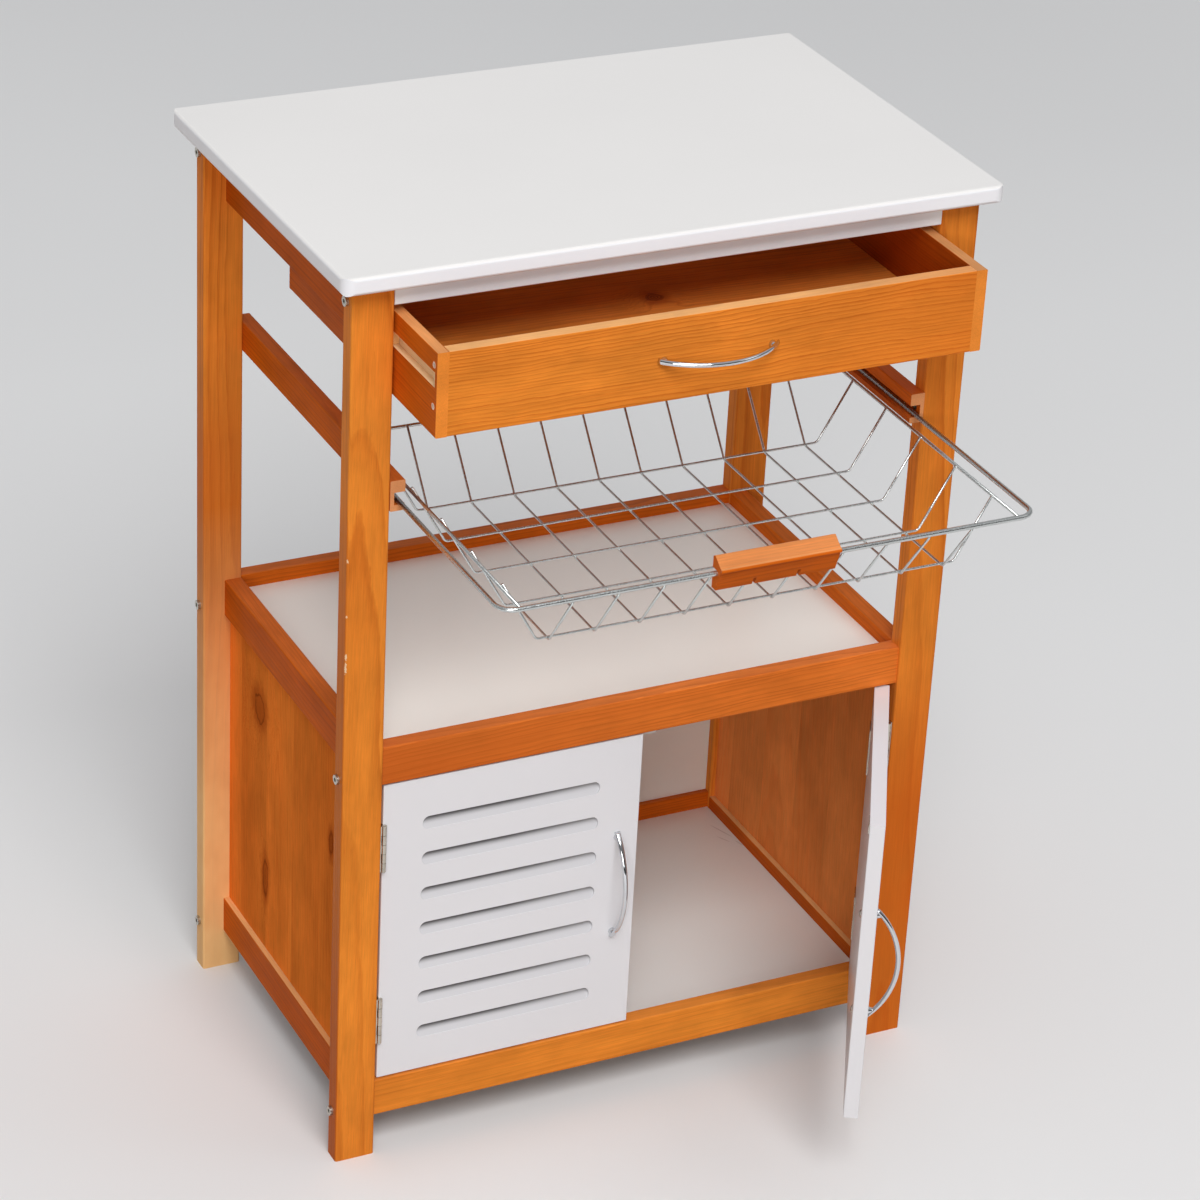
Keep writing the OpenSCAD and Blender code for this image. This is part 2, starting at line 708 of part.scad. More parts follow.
module mid_shelf() color(white_board) difference() {
    shelf_space(mid_shelf_z, 0);
    at_catch_screws() screw_hole(small_screw, catch_screw_l);
}
module bottom_shelf() color(white_board) shelf_space(low_shelf_z, 0);
module side_panel_left() color(pine) left() side_panel_space(0);
module side_panel_right() color(pine) side_panel_space(0);
module back_panel() color(white_board) back_panel_space(0);

// Strip on the legs that the drawer's groove slides on
module drawer_runner() difference() {
    translate([strip_x, strip_front, strip_z])
        bar_y(leg_in - strip_x, strip_back - strip_front, strip_h, board_r);
    at_strip_screws() screw_hole(big_screw, strip_screw_l);
}
module drawer_runner_left() color(pine_light) left() drawer_runner();
module drawer_runner_right() color(pine_light) drawer_runner();

// Grooved runner that the basket's rod slides in, blind at the back
module basket_runner() difference() {
    translate([runner_x, front, runner_up]) bar_y(runner_w, carcass_d, runner_h, board_r);
    translate([runner_x - past, front - past, groove_z])
        cube([runner_groove_deep + past, carcass_d - runner_stop + past, runner_groove_h]);
    at_runner_front_screw() screw_hole(big_screw, runner_screw_l);
    at_runner_back_screw() screw_hole(big_screw, runner_back_screw_l);
}
module basket_runner_left() color(pine) left() basket_runner();
module basket_runner_right() color(pine) basket_runner();

// Bolts with a hexagon socket, through the legs into the barrel nuts
module leg_bolts() color(nickel) both() at_bolts() toward_right() difference() {
    union() {
        cylinder(d = bolt_head_d, h = bolt_head_h);
        translate([0, 0, -bolt_len]) cylinder(d = bolt_d, h = bolt_len);
    }
    translate([0, 0, bolt_socket_floor]) cylinder(d = bolt_socket / cos(30), h = bolt_head_h, $fn = 6);
}

module barrel_nuts() color(nickel) for (z = bolt_zs, y = [bolt_front_y, bolt_back_y]) at_bolts_in(y, z)
    difference() {
        cylinder(d = nut_d, h = nut_len, center = true);
        rotate([0, 90, 0]) cylinder(d = bolt_d + 2 * hole_gap, h = nut_d + 2 * past, center = true);
    }

module dowels() color(beech) both() {
    for (y = [bay_front, bay_back]) {
        away = y < 0 ? -1 : 1;
        for (z = concat([for (q = rail_dowel_zs) low_rail_z + q], [for (q = rail_dowel_zs) mid_rail_z + q],
                [for (q = top_dowel_zs) top_rail_z + q]))
            translate([dowel_x, y + away * (dowel_leg - dowel_rail) / 2, z]) rotate([90, 0, 0])
                cylinder(d = dowel_d, h = dowel_l, center = true);
    }
}

// Angle brackets that hold the worktop on the side rails
module top_brackets() color(nickel) both() for (s = [-1, 1]) difference() {
    translate([leg_in - bracket_l, s * bracket_y - bracket_w / 2, under_top - bracket_l]) difference() {
        cube([bracket_l, bracket_w, bracket_l]);
        translate([-past, -past, -past]) cube([bracket_l - bracket_t + past, bracket_w + 2 * past,
            bracket_l - bracket_t + past]);
    }
    at_bracket_side_screws() screw_hole(small_screw, bracket_screw_l);
    at_bracket_top_screws() screw_hole(small_screw, bracket_screw_l);
}

module frame_screws() color(nickel) {
    both() {
        at_strip_screws() screw(big_screw, strip_screw_l);
        at_runner_front_screw() screw(big_screw, runner_screw_l);
        at_runner_back_screw() screw(big_screw, runner_back_screw_l);
        at_leaf_screws() screw(small_screw, leaf_screw_l);
        at_bracket_side_screws() screw(small_screw, bracket_screw_l);
        at_bracket_top_screws() screw(small_screw, bracket_screw_l);
    }
    at_catch_screws() screw(small_screw, catch_screw_l);
}

// Knuckles of one hinge: which lists their places from the bottom
module knuckles(which) for (i = which)
    translate([pin_x, pin_y, -hinge_h / 2 + i * knuckle_step + knuckle_gap / 2])
        cylinder(d = knuckle_d, h = knuckle_step - knuckle_gap);

module pin_bore() translate([pin_x, pin_y, -hinge_h / 2 - past])
    cylinder(d = pin_d + 2 * pin_gap, h = hinge_h + 2 * past);

// Leaf on the leg's inner face, with three of the five knuckles
module hinge_frame_leaves() color(nickel) both() difference() {
    for (z = hinge_zs) translate([0, 0, z]) difference() {
        union() {
            knuckles([0, 2, 4]);
            translate([leg_in - leaf_t, pin_y - leaf_web / 2, -hinge_h / 2]) cube([leaf_t, leaf_w, hinge_h]);
            for (i = [0, 2, 4])
                translate([pin_x, pin_y - leaf_web / 2, -hinge_h / 2 + i * knuckle_step + knuckle_gap / 2])
                    cube([leg_in - leaf_t / 2 - pin_x, leaf_web, knuckle_step - knuckle_gap]);
        }
        pin_bore();
    }
    at_leaf_screws() screw_hole(small_screw, leaf_screw_l);
}

module hinge_pins() color(nickel) both() for (z = hinge_zs) translate([pin_x, pin_y, z])
    cylinder(d = pin_d, h = hinge_h, center = true);

// Double magnetic catch under the front of the middle shelf
module catch_body() color(white_plastic) difference() {
    union() {
        translate([-catch_w / 2, catch_y, catch_z]) bar_z(catch_w, catch_d, catch_h, plastic_r);
        translate([-catch_w / 2 - catch_ear, catch_y, mid_shelf_z - catch_ear_t])
            bar_z(catch_w + 2 * catch_ear, catch_d, catch_ear_t, plastic_r);
    }
    poles(hole_gap);
    at_catch_screws() screw_hole(small_screw, catch_screw_l);
}

// Steel plates on the catch's two magnets, a little proud of its face; gap widens them to cut their slots
module poles(gap) for (s = [-1, 1], z = [-pole_pitch / 2, pole_pitch / 2])
    translate([s * pole_x - pole_w / 2 - gap, catch_y - pole_proud - gap, pole_z + z - pole_t / 2 - gap])
        cube([pole_w + 2 * gap, pole_d + 2 * gap, pole_t + 2 * gap]);
module catch_poles() color(nickel) poles(0);

// The drawer's pieces are drawn closed and moved out together
module pulled_out() translate([0, -drawer_out, 0]) children();

// Screws through the drawer's sides into its front and back, on the right
module at_drawer_side_screws() for (y = [front + drawer_front_t / 2, front + drawer_d - drawer_back_t / 2],
        z = side_screw_zs)
    translate([drawer_x, y, z]) rotate([0, -90, 0]) children();

// Space that the drawer's bottom board takes
module drawer_bottom_space(gap) translate([-drawer_in_x - drawer_tongue - gap,
        front + drawer_front_t - drawer_tongue - gap, drawer_bottom_z - gap])
    cube([2 * (drawer_in_x + drawer_tongue + gap),
        drawer_d - drawer_front_t - drawer_back_t + 2 * (drawer_tongue + gap), drawer_bottom_t + 2 * gap]);

module drawer_front() color(pine) pulled_out() difference() {
    translate([-drawer_in_x, front, drawer_z]) bar_x(2 * drawer_in_x, drawer_front_t, drawer_h, board_r);
    drawer_bottom_space(board_gap);
    both() at_drawer_side_screws() screw_hole(small_screw, side_screw_l);
    for (s = [-1, 1]) translate([s * handle_pitch / 2, front - past, drawer_mid_z]) rotate([-90, 0, 0])
        cylinder(d = handle_screw_d + 2 * hole_gap, h = drawer_front_t + 2 * past);
}

module drawer_side() difference() {
    translate([drawer_in_x, front, drawer_z]) bar_y(drawer_side_t, drawer_d, drawer_h, board_r);
    translate([drawer_x - drawer_groove_deep, front + drawer_groove_stop, drawer_groove_z])
        cube([drawer_groove_deep + past, drawer_d, drawer_groove_h]);
    drawer_bottom_space(board_gap);
    at_drawer_side_screws() screw_hole(small_screw, side_screw_l);
}
module drawer_side_left() color(pine) pulled_out() left() drawer_side();
module drawer_side_right() color(pine) pulled_out() drawer_side();

module drawer_back() color(pine) pulled_out() difference() {
    translate([-drawer_in_x, front + drawer_d - drawer_back_t, drawer_z])
        bar_x(2 * drawer_in_x, drawer_back_t, drawer_h, board_r);
    drawer_bottom_space(board_gap);
    both() at_drawer_side_screws() screw_hole(small_screw, side_screw_l);
}

module drawer_bottom() color(pine_light) pulled_out() drawer_bottom_space(0);

// Bow handle: upright, on the plane y = 0, bowed towards the front
module bow_handle() color(chrome) difference() {
    union() {
        translate([0, bow_c, 0]) rotate([0, 90, 0]) rotate([0, 0, 270 - bow_sweep / 2])
            rotate_extrude(angle = bow_sweep) translate([bow_r, 0]) circle(d = handle_d);
        for (s = [-1, 1]) translate([0, 0, s * handle_pitch / 2]) rotate([90, 0, 0])
            cylinder(d = handle_foot_d, h = handle_screw_in);
    }
    translate([-handle_len, 0, -handle_len]) cube(2 * handle_len);
    for (s = [-1, 1]) translate([0, past, s * handle_pitch / 2]) rotate([90, 0, 0])
        cylinder(d = handle_screw_d + 2 * hole_gap, h = handle_screw_in + past);
}

// Machine screws of a handle, driven from behind a board of thickness t
module handle_screws(t) for (s = [-1, 1]) translate([0, t, s * handle_pitch / 2]) rotate([90, 0, 0])
    domed_screw(handle_screw, t + handle_screw_in - handle_screw_free);

module on_drawer_front() pulled_out() translate([0, front, drawer_mid_z]) rotate([0, 90, 0]) children();
module drawer_handle() on_drawer_front() bow_handle();
module drawer_screws() color(nickel) {
    pulled_out() both() at_drawer_side_screws() screw(small_screw, side_screw_l);
    on_drawer_front() handle_screws(drawer_front_t);
}

// The basket's pieces are drawn closed and moved out together
module slid_out() translate([0, -basket_out, 0]) children();

// Rod that is the basket's front and its two slides
module basket_rod() color(chrome) slid_out() {
    corner_x = rod_x - rod_bend_r;
    corner_y = rod_y + rod_bend_r;
    wire([-corner_x, rod_y, rod_z], [corner_x, rod_y, rod_z], rod_d);
    both() {
        level_bend([corner_x, corner_y, rod_z], rod_bend_r, rod_d, 270);
        wire([rod_x, corner_y, rod_z], [rod_x, rod_y + rod_len, rod_z], rod_d);
    }
}

// Rim wire, welded to the rod at the front
module basket_rim() color(chrome) slid_out() {
    corner_x = rim_x - rim_bend_r;
    corner_y = rim_y - rim_bend_r;
    wire([-corner_x, rim_y, rod_z], [corner_x, rim_y, rod_z], rim_d);
    both() {
        level_bend([corner_x, corner_y, rod_z], rim_bend_r, rim_d, 0);
        wire([rim_x, rod_y + rod_d / 2 - weld, rod_z], [rim_x, corner_y, rod_z], rim_d);
    }
}

// Wires that run from under the front rod, along the bottom and up to the rim at the back
module basket_long_wires() color(chrome) slid_out() for (i = [0 : long_count - 1]) {
    translate([(i - (long_count - 1) / 2) * long_pitch, 0, 0]) rotate([90, 0, 90])
        bent_wire([[rod_y, rod_z - wire_under_rod], [floor_front, floor_z], [floor_back, floor_z],
            [rim_y - wire_in_rim, rod_z + rim_d / 2]], wire_d, wire_bend_r);
}

// Wires that run from the rim on one side, across the bottom and up to the rim on the other
module basket_cross_wires() color(chrome) slid_out() for (i = [0 : cross_count - 1]) {
    y = (floor_front + floor_back) / 2 + (i - (cross_count - 1) / 2) * cross_pitch;
    translate([0, y, 0]) rotate([90, 0, 0])
        bent_wire([[-rim_x + wire_in_rim, rod_z + rim_d / 2], [-floor_x, cross_z], [floor_x, cross_z],
            [rim_x - wire_in_rim, rod_z + rim_d / 2]], wire_d, wire_bend_r);
}

// Grip with a sloping top, a rounded nose and a hollowed lower face, slotted from behind for the rod
module grip_section() difference() {
    union() {
        polygon([[-grip_back, -grip_down], [-lip, -grip_down], [grip_front - nose_r, nose_low],
            [grip_front - nose_r, nose_high], [-slope_back, grip_up], [-grip_back, grip_up - slope_fall]]);
        translate([grip_front - nose_r, (nose_low + nose_high) / 2]) circle(nose_r);
    }
    translate([cove_r + cove_in, cove_up - grip_down]) circle(cove_r);
    circle(d = rod_d + 2 * pin_gap);
    translate([-grip_back - past, -rod_d / 2 - pin_gap]) square([grip_back + past, rod_d + 2 * pin_gap]);
}
module basket_grip() color(pine) slid_out() difference() {
    translate([-grip_w / 2, rod_y, rod_z]) rotate([90, 0, 90]) linear_extrude(grip_w)
        mirror([1, 0]) grip_section();
    for (i = [0 : long_count - 1]) {
        x = (i - (long_count - 1) / 2) * long_pitch;
        translate([x - wire_d / 2 - slide_gap, rod_y - wire_d, rod_z - grip_down - past])
            cube([wire_d + 2 * slide_gap, grip_back + wire_d + past, grip_down + past]);
    }
}

// A door's pieces are drawn closed, on the right, and turned about the hinge pins
module swung(open) translate([pin_x, pin_y, 0]) rotate([0, 0, open])
    translate([-pin_x, -pin_y, 0]) children();

// Cutter of one louvre groove: its floor slopes in from the lower edge to the upper one
module louvre() rotate([90 - slot_tilt, 0, 0]) linear_extrude(slot_h) {
    translate([slot_r, 0]) square([slot_len - slot_h, slot_h]);
    for (x = [slot_r, slot_len - slot_r]) translate([x, slot_r]) circle(slot_r);
}

// Screw places on the closed right door
module at_wrap_screws() for (z = hinge_zs, s = [-1, 1])
    translate([wrap_screw_x, door_back + leaf_t, z + s * leaf_screw_pitch / 2]) rotate([90, 0, 0]) children();
module at_strike_screw() translate([strike_x + strike_w / 2, door_back + strike_t, strike_z + strike_h / 2])
    rotate([90, 0, 0]) children();
module on_door_handle() translate([handle_x, door_front, door_mid_z]) children();

module door() difference() {
    translate([door_free, door_front, door_z])
        bar_z(door_edge - door_free, door_t, door_top - door_z, board_r);
    for (i = [0 : slot_count - 1])
        translate([door_free + slot_inset, door_front, slot_first_z - i * slot_pitch]) louvre();
    at_wrap_screws() screw_hole(small_screw, wrap_screw_l);
    at_strike_screw() screw_hole(small_screw, strike_screw_l);
    on_door_handle() for (s = [-1, 1]) translate([0, -past, s * handle_pitch / 2]) rotate([-90, 0, 0])
        cylinder(d = handle_screw_d + 2 * hole_gap, h = door_t + 2 * past);
}

// Leaf that wraps round the door's edge onto its back, with two of the five knuckles
module door_leaves() difference() {
    for (z = hinge_zs) translate([0, 0, z]) difference() {
        union() {
            knuckles([1, 3]);
            translate([door_edge, pin_y + knuckle_r + knuckle_gap, -hinge_h / 2])
                cube([leaf_t, door_back + leaf_t - pin_y - knuckle_r - knuckle_gap, hinge_h]);
            translate([door_edge + leaf_t - wrap_w, door_back, -hinge_h / 2]) cube([wrap_w, leaf_t, hinge_h]);
            for (i = [1, 3]) translate([door_edge, pin_y, -hinge_h / 2 + i * knuckle_step + knuckle_gap / 2])
                cube([leaf_t, door_t, knuckle_step - knuckle_gap]);
        }
        pin_bore();
    }
    at_wrap_screws() screw_hole(small_screw, wrap_screw_l);
}

module door_screws() {
    at_wrap_screws() screw(small_screw, wrap_screw_l);
    at_strike_screw() screw(small_screw, strike_screw_l);
    on_door_handle() handle_screws(door_t);
}

module strike_plate() difference() {
    translate([strike_x, door_back, strike_z]) cube([strike_w, strike_t, strike_h]);
    at_strike_screw() screw_hole(small_screw, strike_screw_l);
}

module door_left() color(white_board) left() swung(left_open) door();
module door_handle_left() left() swung(left_open) on_door_handle() bow_handle();
module hinge_leaves_left() color(nickel) left() swung(left_open) door_leaves();
module door_screws_left() color(nickel) left() swung(left_open) door_screws();
module strike_plate_left() color(nickel) left() swung(left_open) strike_plate();
module door_right() color(white_board) swung(right_open) door();
module door_handle_right() swung(right_open) on_door_handle() bow_handle();
module hinge_leaves_right() color(nickel) swung(right_open) door_leaves();
module door_screws_right() color(nickel) swung(right_open) door_screws();
module strike_plate_right() color(nickel) swung(right_open) strike_plate();

worktop();
front_apron();
back_apron();
leg_front_left();
leg_front_right();
leg_back_left();
leg_back_right();
top_rail_left();
top_rail_right();
mid_rail_front();
mid_rail_back();
mid_rail_left();
mid_rail_right();
low_rail_front();
low_rail_back();
low_rail_left();
low_rail_right();
mid_shelf();
bottom_shelf();
side_panel_left();
side_panel_right();
back_panel();
drawer_runner_left();
drawer_runner_right();
basket_runner_left();
basket_runner_right();
leg_bolts();
barrel_nuts();
dowels();
top_brackets();
frame_screws();
hinge_frame_leaves();
hinge_pins();
catch_body();
catch_poles();
drawer_front();
drawer_side_left();
drawer_side_right();
drawer_back();
drawer_bottom();
drawer_handle();
drawer_screws();
basket_rod();
basket_rim();
basket_long_wires();
basket_cross_wires();
basket_grip();
door_left();
door_handle_left();
hinge_leaves_left();
door_screws_left();
strike_plate_left();
door_right();
door_handle_right();
hinge_leaves_right();
door_screws_right();
strike_plate_right();
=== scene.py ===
import json
import math

import bmesh
import bpy
from mathutils import Euler, Matrix, Vector


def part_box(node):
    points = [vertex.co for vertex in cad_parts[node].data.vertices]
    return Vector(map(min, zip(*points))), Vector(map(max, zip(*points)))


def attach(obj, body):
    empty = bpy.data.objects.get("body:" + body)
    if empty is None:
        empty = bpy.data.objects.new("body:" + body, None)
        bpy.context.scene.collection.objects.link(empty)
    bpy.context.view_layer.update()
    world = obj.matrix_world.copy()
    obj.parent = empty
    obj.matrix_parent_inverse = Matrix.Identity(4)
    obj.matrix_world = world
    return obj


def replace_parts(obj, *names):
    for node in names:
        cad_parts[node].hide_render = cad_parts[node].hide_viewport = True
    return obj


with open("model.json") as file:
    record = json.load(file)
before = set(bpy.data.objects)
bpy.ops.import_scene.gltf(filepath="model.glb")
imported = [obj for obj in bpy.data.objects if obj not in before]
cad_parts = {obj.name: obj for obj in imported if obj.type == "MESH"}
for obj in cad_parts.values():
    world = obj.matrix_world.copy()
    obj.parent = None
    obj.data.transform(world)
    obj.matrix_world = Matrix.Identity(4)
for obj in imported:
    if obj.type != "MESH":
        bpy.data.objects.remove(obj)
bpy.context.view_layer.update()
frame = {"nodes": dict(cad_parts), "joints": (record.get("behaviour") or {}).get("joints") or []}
NODES = frame["nodes"]
MM = 0.001

# The camera stands at front left, above the worktop. Its place, in millimetres, and its turns and lens were
# worked out from the photograph
CAMERA_PLACE = Vector((-1374.1, -2763.4, 2063.1)) * MM
CAMERA_YAW = math.radians(27.017)
CAMERA_PITCH = math.radians(-28.089)
CAMERA_ROLL = math.radians(3.088)
CAMERA_LENS = 119.38
SENSOR = 36

# Rest angle of the right door, as in the part's source
RIGHT_OPEN = math.radians(60)

# Doors, in millimetres in the shut pose: their face, and the grooves' middle and length
DOOR_FACE = -166
GROOVE_MIDDLE = 122.25
GROOVE_LENGTH = 164.5

# Bow handles, in millimetres: length, distance of their screws, how far they stand out, and thickness in
# the middle
BOW_LENGTH = 112
BOW_PITCH = 96
BOW_REACH = 24
BOW_THICKNESS = 4.2

# Wire basket: diameters, how deep wires sink into each other at a weld, counts and spacings, and bends
ROD = 4.4 * MM
RIM = 3.0 * MM
WIRE = 2.0 * MM
WELD = 0.2 * MM
LONG_COUNT = 10
LONG_PITCH = 39.2 * MM
CROSS_COUNT = 5
CROSS_PITCH = 58.5 * MM
MESH_BEND = 5 * MM
ROD_BEND = 14 * MM

# How far the mesh's floor lies under the rod, and in from the rod, the rim's back and the rim's sides
FLOOR_DROP = 54.4 * MM
FLOOR_FROM_ROD = 38 * MM
FLOOR_FROM_BACK = 49 * MM
FLOOR_FROM_SIDE = 33 * MM


def joint_place(name):
    """Point on a joint's axis, from the frame."""
    joint = next(j for j in frame["joints"] if j["name"] == name)
    return Vector(joint["pos_m"])


def srgb(r, g, b):
    """Colour of 0 to 255 screen values, as the linear values that shaders take."""
    screen = (r / 255, g / 255, b / 255)
    return tuple(c / 12.92 if c <= 0.04045 else ((c + 0.055) / 1.055) ** 2.4 for c in screen) + (1,)


class Graph:
    """Adds linked shader nodes to one material, in few words."""

    def __init__(self, name):
        self.material = bpy.data.materials.new(name)
        self.material.use_nodes = True
        self.tree = self.material.node_tree
        self.shader = self.tree.nodes["Principled BSDF"]
        self.coords = self.tree.nodes.new("ShaderNodeTexCoord").outputs["Object"]

    def node(self, kind, sockets, output=0, **settings):
        node = self.tree.nodes.new(kind)
        for key, value in settings.items():
            setattr(node, key, value)
        for key, value in sockets.items():
            self.put(node.inputs[key], value)
        return node.outputs[output]

    def put(self, socket, value):
        if isinstance(value, bpy.types.NodeSocket):
            self.tree.links.new(value, socket)
        else:
            socket.default_value = value

    def math(self, operation, a, b=0.0, c=0.0):
        return self.node("ShaderNodeMath", {0: a, 1: b, 2: c}, operation=operation)

    def vector(self, operation, a, b=(0, 0, 0), output=0):
        return self.node("ShaderNodeVectorMath", {0: a, 1: b}, output=output, operation=operation)

    def length(self, a):
        return self.vector("LENGTH", a, output="Value")

    def noise(self, vector, scale=1.0, detail=2.0, roughness=0.5):
        return self.node("ShaderNodeTexNoise",
                         {"Vector": vector, "Scale": scale, "Detail": detail, "Roughness": roughness})

    def remap(self, value, low, high, to_low=0.0, to_high=1.0, smooth=False):
        kind = "SMOOTHSTEP" if smooth else "LINEAR"
        return self.node("ShaderNodeMapRange", {0: value, 1: low, 2: high, 3: to_low, 4: to_high},
                         interpolation_type=kind)

    def mix(self, factor, a, b, blend="MIX"):
        return self.node("ShaderNodeMix", {0: factor, 6: a, 7: b}, output=2, data_type="RGBA",
                         blend_type=blend)

    def axes(self, vector):
        """The three parts of a vector."""
        return self.node("ShaderNodeSeparateXYZ", {0: vector}).node.outputs

    def join(self, x, y=0.0, z=0.0):
        """Vector from its three parts."""
        return self.node("ShaderNodeCombineXYZ", {0: x, 1: y, 2: z})

    def shaded(self, colour, shade):
        """A colour made darker or lighter by a factor."""
        return self.mix(1.0, colour, self.join(shade, shade, shade), blend="MULTIPLY")

    def random(self, value, output="Value"):
        """A random number, or colour, for each whole value."""
        return self.node("ShaderNodeTexWhiteNoise", {"W": value}, output=output, noise_dimensions="1D")

    def from_point(self, place):
        """Vector from a place, in millimetres, to each point."""
        return self.vector("SUBTRACT", self.coords, tuple(c * MM for c in place))

    def shape(self, value, *stops):
        """Curve through (place, height) stops, read at value."""
        node = self.tree.nodes.new("ShaderNodeValToRGB")
        ramp = node.color_ramp
        while len(ramp.elements) < len(stops):
            ramp.elements.new(1.0)
        for element, (place, height) in zip(ramp.elements, stops):
            element.position = place
            element.color = (height, height, height, 1)
        self.tree.links.new(value, node.inputs[0])
        return node.outputs[0]

    def bump(self, height, strength, distance):
        bump = self.node("ShaderNodeBump", {"Height": height, "Strength": strength, "Distance": distance})
        self.put(self.shader.inputs["Normal"], bump)

    def surface(self, **sockets):
        for key, value in sockets.items():
            self.put(self.shader.inputs[key.replace("_", " ")], value)
        return self.material


# Honey-coloured lacquered pine: early wood is the pale part of a year's ring, and late wood the dark part.
# The inner pair is a lighter copy for the right panel, which is seen inside the cabinet: painted light that
# makes up for the light the cabinet's inside lacks
EARLY_WOOD = srgb(244, 148, 54)
LATE_WOOD = srgb(182, 80, 16)
RED_WOOD = srgb(200, 84, 16)
DARK_EARLY = srgb(218, 106, 22)
DARK_LATE = srgb(148, 56, 6)
PANEL_EARLY = srgb(255, 145, 58)
PANEL_LATE = srgb(232, 100, 32)
INNER_LIT_EARLY = srgb(255, 154, 82)
INNER_LIT_LATE = srgb(246, 124, 58)
RUNNER_END = srgb(246, 176, 122)
SIDE_END = srgb(252, 156, 64)
PALE_WOOD = srgb(244, 190, 128)
KNOT_WOOD = srgb(104, 38, 12)
HALO_WOOD = srgb(170, 62, 16)
DEEP_WOOD = srgb(176, 74, 20)
# Pale glow painted low on the back left leg: painted light
PAINTED_LOW_GLOW = srgb(255, 210, 146)
CHIPPED = srgb(240, 208, 168)
MID_RAIL_EARLY = srgb(246, 138, 56)
MID_RAIL_LATE = srgb(186, 84, 24)
# Darker copy of the sides' wood for the right drawer side, whose inner face lies under the worktop: painted
# shade
DRAWER_SHADE_EARLY = srgb(172, 76, 16)
DRAWER_SHADE_LATE = srgb(120, 42, 6)
BARE_EARLY = srgb(246, 214, 170)
BARE_LATE = srgb(226, 170, 110)
DOWEL_LATE = srgb(214, 160, 100)


def grain_frame(g, along, pith, tilt, boards):
    """Coordinates in metres with Z along the grain and the log's heart on the axis, and each board's tone."""
    order = {"X": (1, 2, 0), "Y": (0, 2, 1), "Z": (0, 1, 2)}[along]
    axes = g.axes(g.coords)
    vector = g.join(*[axes[i] for i in order])
    tone = 1.0
    if boards:
        # Each board comes from another part of the log
        axis, width = boards
        board = g.math("FLOOR", g.math("DIVIDE", axes[axis], width * MM))
        vector = g.vector("ADD", vector, g.vector("MULTIPLY", g.random(board, "Color"), (0.05, 0.08, 1.7)))
        tone = g.remap(g.random(board), 0.0, 1.0, 0.86, 1.1)
    place = tuple(-c * MM for c in pith)
    turn = Euler((math.radians(tilt[0]), math.radians(tilt[1]), 0))
    log = g.node("ShaderNodeMapping", {"Vector": vector, "Location": place, "Rotation": turn},
                 vector_type="POINT")
    return log, tone


# Width of the dark line round a knot, in millimetres
KNOT_RIM = 1.5


def knot_field(g, knots):
    """How far knots push the rings aside, and how far a point lies in a knot's heart and in its dark halo.

    A knot is (centre, scale on each axis, radius, darkness of its heart), in millimetres. A scale under 1
    draws the knot out on that axis. A knot with a light heart shows as a dark ring.
    """
    push, heart, halo = 0.0, 0.0, 0.0
    wobble = g.remap(g.noise(g.coords, scale=120, detail=2), 0.3, 0.7, 0.85, 1.15)
    for centre, across, size, darkness in knots:
        radius = size * MM
        away = g.length(g.vector("MULTIPLY", g.from_point(centre), across))
        away = g.math("MULTIPLY", away, wobble)
        aside = g.remap(away, radius * 0.5, radius * 5, radius * 2.2, 0.0, smooth=True)
        ring = g.math("SINE", g.math("MULTIPLY", away, 6.28 / (radius * 0.34)))
        inside = g.remap(away, radius * 0.85, radius * 1.1, darkness, 0.0, smooth=True)
        inside = g.math("MULTIPLY", inside, g.remap(ring, -1.0, 1.0, 0.35, 0.95))
        from_rim = g.math("ABSOLUTE", g.math("SUBTRACT", away, radius))
        rim = g.remap(from_rim, 0.0, KNOT_RIM * MM, 0.6, 0.0)
        around = g.remap(away, radius, radius * 2.6, 0.5, 0.0, smooth=True)
        push = g.math("ADD", push, aside)
        heart = g.math("MAXIMUM", heart, g.math("MAXIMUM", inside, rim))
        halo = g.math("MAXIMUM", halo, around)
    return push, heart, halo


# Darkness through one year's ring, as (place, height): it rises slowly and falls at once
YEAR = ((0.0, 0.0), (0.4, 0.1), (0.72, 0.5), (0.9, 1.0), (0.97, 0.55), (1.0, 0.0))


def ring_pattern(g, log, ring, wave, knots):
    """Share of late wood at each point, from yearly rings that sway along the trunk and part round knots.

    The knots' hearts and halos come with it.
    """
    sway = g.noise(g.vector("MULTIPLY", log, (7, 7, 2.2)), detail=2)
    ripple = g.noise(g.vector("MULTIPLY", log, (55, 55, 14)), detail=4, roughness=0.6)
    radius = g.length(g.vector("MULTIPLY", log, (1, 1, 0)))
    radius = g.math("MULTIPLY_ADD", sway, 0.016 * wave, radius)
    radius = g.math("MULTIPLY_ADD", ripple, 0.0034 * wave, radius)
    push, heart, halo = knot_field(g, knots)
    radius = g.math("ADD", radius, push)
    slow = g.noise(g.vector("MULTIPLY", g.join(radius), (60, 0, 0)), detail=1)
    phase = g.math("MULTIPLY_ADD", slow, 3.0, g.math("DIVIDE", radius, ring * MM))
    late_part = g.shape(g.math("FRACT", phase), *YEAR)
    year = g.random(g.math("FLOOR", phase))
    return g.math("MULTIPLY", late_part, g.remap(year, 0.0, 1.0, 0.45, 1.0)), heart, halo


def facing(g, axis, low, high):
    """How far a face looks along an axis, from 0 at low to 1 at high; negative values look the other way."""
    normal = g.axes(g.node("ShaderNodeNewGeometry", {}, output="Normal"))
    return g.remap(normal["XYZ".index(axis)], low, high)


def inside_box(g, low, high):
    """1 inside a box given in millimetres, 0 outside."""
    to_high = g.vector("SUBTRACT", tuple(c * MM for c in high), g.coords)
    x, y, z = g.axes(g.vector("MINIMUM", g.from_point(low), to_high))
    return g.math("GREATER_THAN", g.math("MINIMUM", g.math("MINIMUM", x, y), z), 0.0)


